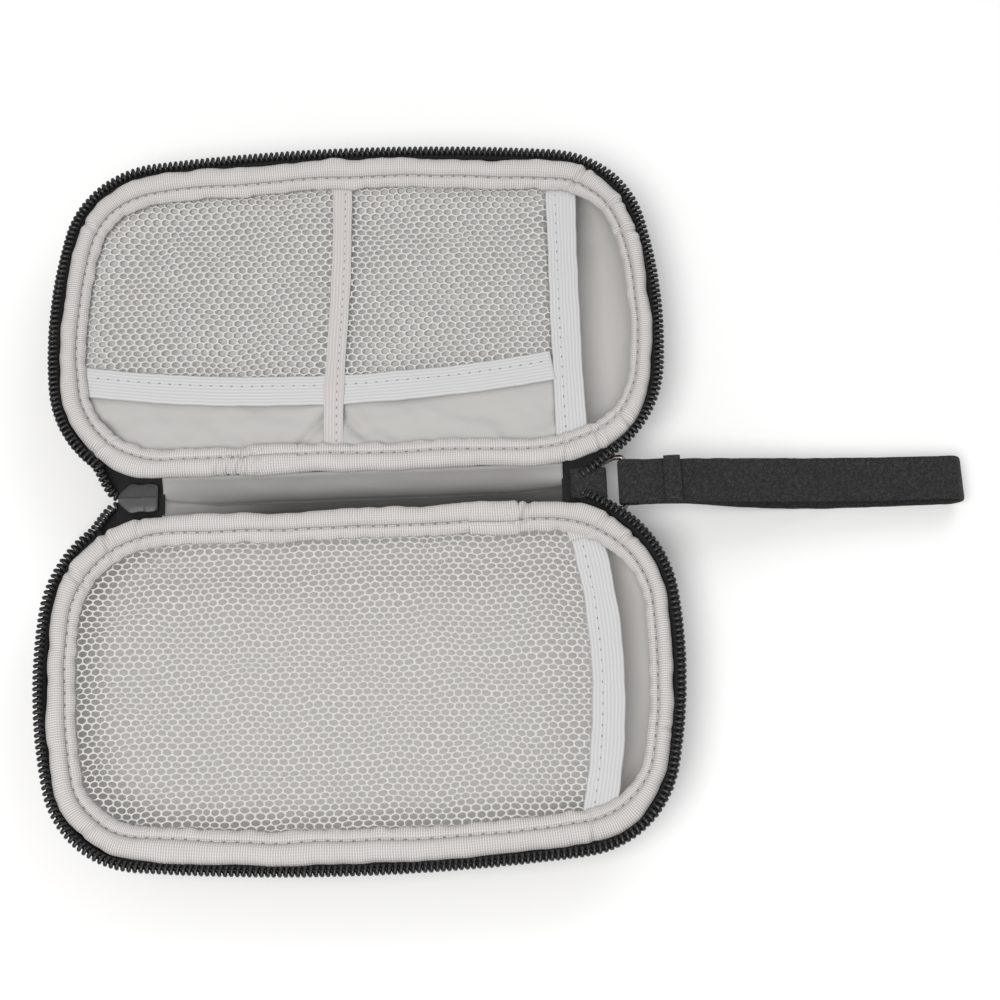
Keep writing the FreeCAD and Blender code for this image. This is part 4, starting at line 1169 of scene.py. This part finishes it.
def spine_strip(name, half, below, material, slot_name, stands_for, ripple, seed):
    """One half of the cloth along the spine, hanging from the rim into the fold."""
    first_x, last_x = STRIP_LOW[0] + STRIP_END_GAP, STRIP_HIGH[0]
    x = np.arange(first_x, last_x + 0.5, 1.0)
    grid_x, grid_y = np.meshgrid(x, VALLEY_Y, indexing="ij")
    depth = np.broadcast_to(VALLEY_Z[half], grid_x.shape)
    share = np.broadcast_to(np.linspace(0, 1, len(VALLEY_Y)), grid_x.shape)
    ends = np.clip(np.minimum(grid_x - first_x, last_x - grid_x) / 16, 0, 1) ** 0.7
    depth = EDGE_Z - (EDGE_Z - depth) * (0.30 + 0.70 * ends)
    side = 1 if half == "front" else 2.3
    noise_map = wave(np.column_stack([grid_x.ravel(), grid_y.ravel() * side]), 11.0, seed)
    crease = np.exp(-((grid_x + 50 - (grid_y - 52) * 0.7) / 1.4) ** 2) * 0.5
    z = (depth - below
         + (ripple * noise_map.reshape(grid_x.shape) - crease) * share * (1 - share) * 3)
    points = np.column_stack([grid_x.ravel(), grid_y.ravel(), z.ravel()])
    if half == "back":
        points[:, 1] = 2 * FOLD_Y - points[:, 1]
    faces = grid_faces(len(x), len(VALLEY_Y))
    if half == "front":
        faces = faces[:, ::-1]
    strip = make_mesh(name, points, faces, points[:, :2])
    thicken(strip, 0.5)
    dress(strip, None, material, slot_name, stands_for)
    hang_on_spine(strip, half)


def build_spine():
    for half in ("front", "back"):
        spine_strip("spine_lining_" + half, half, 0.0, MAT_SPINE_PAINTED_SHADE, "lining",
                    "spine_lining_strip", 0.45, 103)
        spine_strip("spine_cover_" + half, half, 1.1, MAT_SHELL, "shell_fabric",
                    "spine_outer_strip", 0.1, 107)
        web(half, True)
        web(half, False)


# ---- slider
def shield_outline(count=64):
    """Half widths of the slider's plate along its length, nose first."""
    length = SLIDER_HIGH[0] - SLIDER_LOW[0]
    share = np.array([0, 0.05, 0.14, 0.27, 0.36, 0.5, 0.62, 0.76, 0.9, 0.97, 1.0])
    width = np.array([0.9, 1.9, 3.0, 4.35, 4.7, 4.35, 4.25, 4.5, 4.4, 4.1, 3.5])
    t = np.linspace(0, 1, count)
    kernel = np.array([1, 2, 3, 2, 1]) / 9
    smooth = np.convolve(np.pad(np.interp(t, share, width), 2, mode="edge"), kernel, "valid")
    return SLIDER_LOW[0] + t * length, smooth


PLATE_LEVELS = [  # share of the length, share of the width, share of the thickness
    (0.90, 0.90, 0.0), (0.97, 0.97, 0.08), (1.0, 1.0, 0.3), (1.0, 1.0, 0.7),
    (0.975, 0.975, 0.9), (0.94, 0.93, 1.0), (0.93, 0.5, 1.1), (0.925, 0.07, 1.2),
    (0.92, 0.05, 1.05), (0.92, 0.005, 1.05)]
PLATE_THICK, PLATE_DROP, PLATE_RISE = 1.35, 0.12, 1.2
POST_X, BRIDGE_X = SLIDER_LOW[0] + 3.4, -66.3


def slider_plate(z_low, upside_down):
    """A rounded shield plate: stacked outlines that draw in at the top and bottom edges."""
    xs, half_width = shield_outline()
    outline = np.concatenate([np.column_stack([xs, half_width]),
                              np.column_stack([xs, -half_width])[::-1]])
    centre = np.array([(SLIDER_LOW[0] + SLIDER_HIGH[0]) / 2, 0.0])
    points = []
    for long, wide, level in PLATE_LEVELS:
        ring = centre + (outline - centre) * np.array((long, wide))
        points.append(np.column_stack([ring, np.full(len(ring), z_low + PLATE_THICK * level)]))
    points = np.array(points)
    points[..., 1] += FOLD_Y
    faces = grid_faces(len(PLATE_LEVELS), len(outline), False, True)
    if upside_down:
        points[..., 2] = z_low + PLATE_THICK - (points[..., 2] - z_low)
        faces = faces[:, ::-1]
    last = (len(PLATE_LEVELS) - 1) * len(outline)
    caps = [list(range(len(outline)))[::-1], list(range(last, last + len(outline)))]
    return points.reshape(-1, 3), faces.tolist() + caps


def build_slider():
    """Two shield plates joined by a post at the nose, and the bridge that holds the pull."""
    low_plate = SLIDER_LOW[2] + PLATE_RISE
    parts = [slider_plate(SLIDER_HIGH[2] - PLATE_THICK - PLATE_DROP, False),
             slider_plate(low_plate, True)]
    turn = np.arange(16) * 2 * PI / 16
    post = [np.column_stack([POST_X + np.cos(turn) * 1.5 * wide,
                             FOLD_Y + np.sin(turn) * 0.9 * wide, np.full(16, z)])
            for z, wide in ((low_plate + PLATE_THICK * 0.6, 1.0), (ZIP_PLANE, 0.85),
                            (SLIDER_HIGH[2] - PLATE_THICK, 1.0))]
    parts.append((np.concatenate(post), grid_faces(3, 16, False, True).tolist()))
    arch_t = np.linspace(0, PI, 15)
    arch = np.column_stack([BRIDGE_X - np.cos(arch_t) * 3.2, np.full(15, FOLD_Y),
                            low_plate + 0.6 - np.sin(arch_t) * 1.25])
    way = unit(np.gradient(arch, axis=0))
    side = np.array((0.0, 1.0, 0.0))
    lift = np.cross(way, side)
    turn = np.arange(10) * 2 * PI / 10
    bridge = (arch[:, None, :] + side * np.cos(turn)[None, :, None] * 1.3
              + lift[:, None, :] * np.sin(turn)[None, :, None] * 0.42)
    parts.append((bridge.reshape(-1, 3), grid_faces(15, 10, False, True).tolist()))
    faces, first = [], 0
    for points, part_faces in parts:
        faces.extend([[first + k for k in face] for face in part_faces])
        first += len(points)
    piece = make_mesh("slider_body", np.concatenate([points for points, _ in parts]), faces)
    piece.data.set_sharp_from_angle(angle=math.radians(32))
    dress(piece, "zip_slider_body", MAT_SLIDER, "slider", "zip_slider")


# ---- ring tab and strap
def rounded_run(corners, step=0.4):
    """A flat run of (x, z) points with an arc of the given radius at each inner corner."""
    out = [np.array(corners[0][:2], float)]
    for before, here, after in zip(corners[:-2], corners[1:-1], corners[2:]):
        p, q, r = (np.array(c[:2], float) for c in (before, here, after))
        back, on = unit(p - q), unit(r - q)
        radius = here[2]
        cosine = float(np.clip(back @ on, -1, 1))
        angle = math.acos(cosine)
        if abs(angle - PI) < 1e-3:
            out.append(q)
            continue
        reach = radius / math.tan(angle / 2)
        middle = q + unit(back + on) * radius / math.sin(angle / 2)
        a, b = q + back * reach - middle, q + on * reach - middle
        first = math.atan2(a[1], a[0])
        sweep = math.atan2(a[0] * b[1] - a[1] * b[0], a @ b)
        count = max(3, int(abs(sweep) * radius / step) + 2)
        for k in range(count):
            turn = first + sweep * k / (count - 1)
            out.append(middle + radius * np.array((math.cos(turn), math.sin(turn))))
    out.append(np.array(corners[-1][:2], float))
    return np.array(out)


def webbing(name, run, y_mid, width, thickness, body, seed, stands_for=(), lean=0.0):
    """A woven strap along a run of (x, z) points, standing off it by half its thickness."""
    path = np.column_stack([run[:, 0], np.full(len(run), y_mid), run[:, 1]])
    path = resample(path, WEBBING_STEP)
    ahead = unit(np.gradient(path, axis=0))
    side = np.broadcast_to(np.array((0.0, 1.0, 0.0)), ahead.shape)
    up = np.cross(ahead, side)
    marks = np.arange(len(path)) * WEBBING_STEP
    share, crown = WEBBING_SECTION
    wobble = 0.10 * wave(marks, 7.0, seed)[:, None] * np.sign(share)[None, :]
    path = path + side * (np.clip(19.0 - path[:, 2:], 0, 20) * lean)
    points = (path[:, None, :] + side[:, None, :] * (share * (width - 0.3) + wobble)[..., None]
              + up[:, None, :] * (crown * thickness)[None, :, None])
    faces = grid_faces(len(path), len(share), False, True)
    uvs = np.stack(np.broadcast_arrays(marks[:, None], share[None] * width), -1)
    piece = make_mesh(name, points.reshape(-1, 3), faces[:, ::-1], uvs.reshape(-1, 2))
    dress(piece, body, MAT_WEBBING, "webbing", *stands_for)


def stitch_row(name, x, y_low, y_high, count, z, lift, body):
    """Black stitches across a strap."""
    row = np.column_stack([np.full(count, x), np.linspace(y_low, y_high, count),
                           np.full(count, z)])
    stitch_line(name, None, row, 1.5, 1.15, 0.16, lift, MAT_BLACK_THREAD, "webbing", body)


WEBBING_THICK = 0.9
STRAP_LINE = [(97, 19.25), (86.6, 19.25, 3), (82.8, 19.85, 3), (79.4, 19.85, 1.2),
              (79.4, 17.45, 1.2), (82.8, 17.45, 3), (86.6, 18.05, 3), (98, 18.05, 30),
              (112, 10.5, 40), (128, 3.6, 60), (146, 0.9, 80), (185, 0.9, 4), (185, 8.9, 4),
              (160, 9.8, 60), (134, 13.0, 120), (108, 17.4, 60), (98, 18.2, 30), (84.6, 18.2)]


def build_strap():
    y_mid = (STRAP_LOW[1] + STRAP_HIGH[1]) / 2
    width = STRAP_HIGH[1] - STRAP_LOW[1]
    run = rounded_run(STRAP_LINE)
    way = unit(np.gradient(run, axis=0))
    line = run + np.column_stack([way[:, 1], -way[:, 0]]) * WEBBING_THICK / 2
    webbing("strap_webbing", line, y_mid, width, WEBBING_THICK, "strap", 113, ["wrist_strap"],
            0.10)
    top = STRAP_HIGH[2]
    hem = np.column_stack([np.linspace(92.5, 97.4, 12), 0.25 * np.sin(np.linspace(0, PI, 12))
                           + top - 0.35])
    webbing("strap_hem", hem, y_mid + 0.25, width + 0.9, 1.25, "strap", 115)
    for k, x in enumerate((84.6, 91.4)):
        stitch_row(f"strap_stitches_{k + 1}", x, y_mid - width / 2 + 1.2, y_mid + width / 2 - 1.2,
                   9, top - 0.1, 0.05, "strap")
    low, high = TAB_LOW, TAB_HIGH
    run = rounded_run([(low[0] + 0.2, high[2] - 0.95), (69.5, high[2] - 0.55, 4),
                       (74.7, high[2] - 0.45, 1.4), (74.7, low[2] + 0.45, 1.4),
                       (69.5, low[2] + 0.55, 4), (low[0] + 0.2, low[2] + 0.95)])
    webbing("ring_tab_webbing", run, (low[1] + high[1]) / 2, high[1] - low[1], WEBBING_THICK,
            "spine", 117, ["ring_tab"])
    stitch_row("ring_tab_stitches", 69.0, low[1] + 1, high[1] - 1, 7, high[2] - 0.1, 0.02,
               "spine")


# ---- putting it together
for half_name in ("front", "back"):
    build_shell(half_name)
    build_lining(half_name)
    build_binding(half_name)
    binding_lap(half_name, *BINDING_ENDS[half_name])
    build_coil(half_name)
    build_tape(half_name)
front_pocket()
back_pockets()
build_spine()
build_slider()
build_strap()

for node, material in (("d_ring", MAT_RING), ("zip_puller", MAT_SLIDER)):
    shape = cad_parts[node]
    shape.data.materials.clear()
    shape.data.materials.append(material)
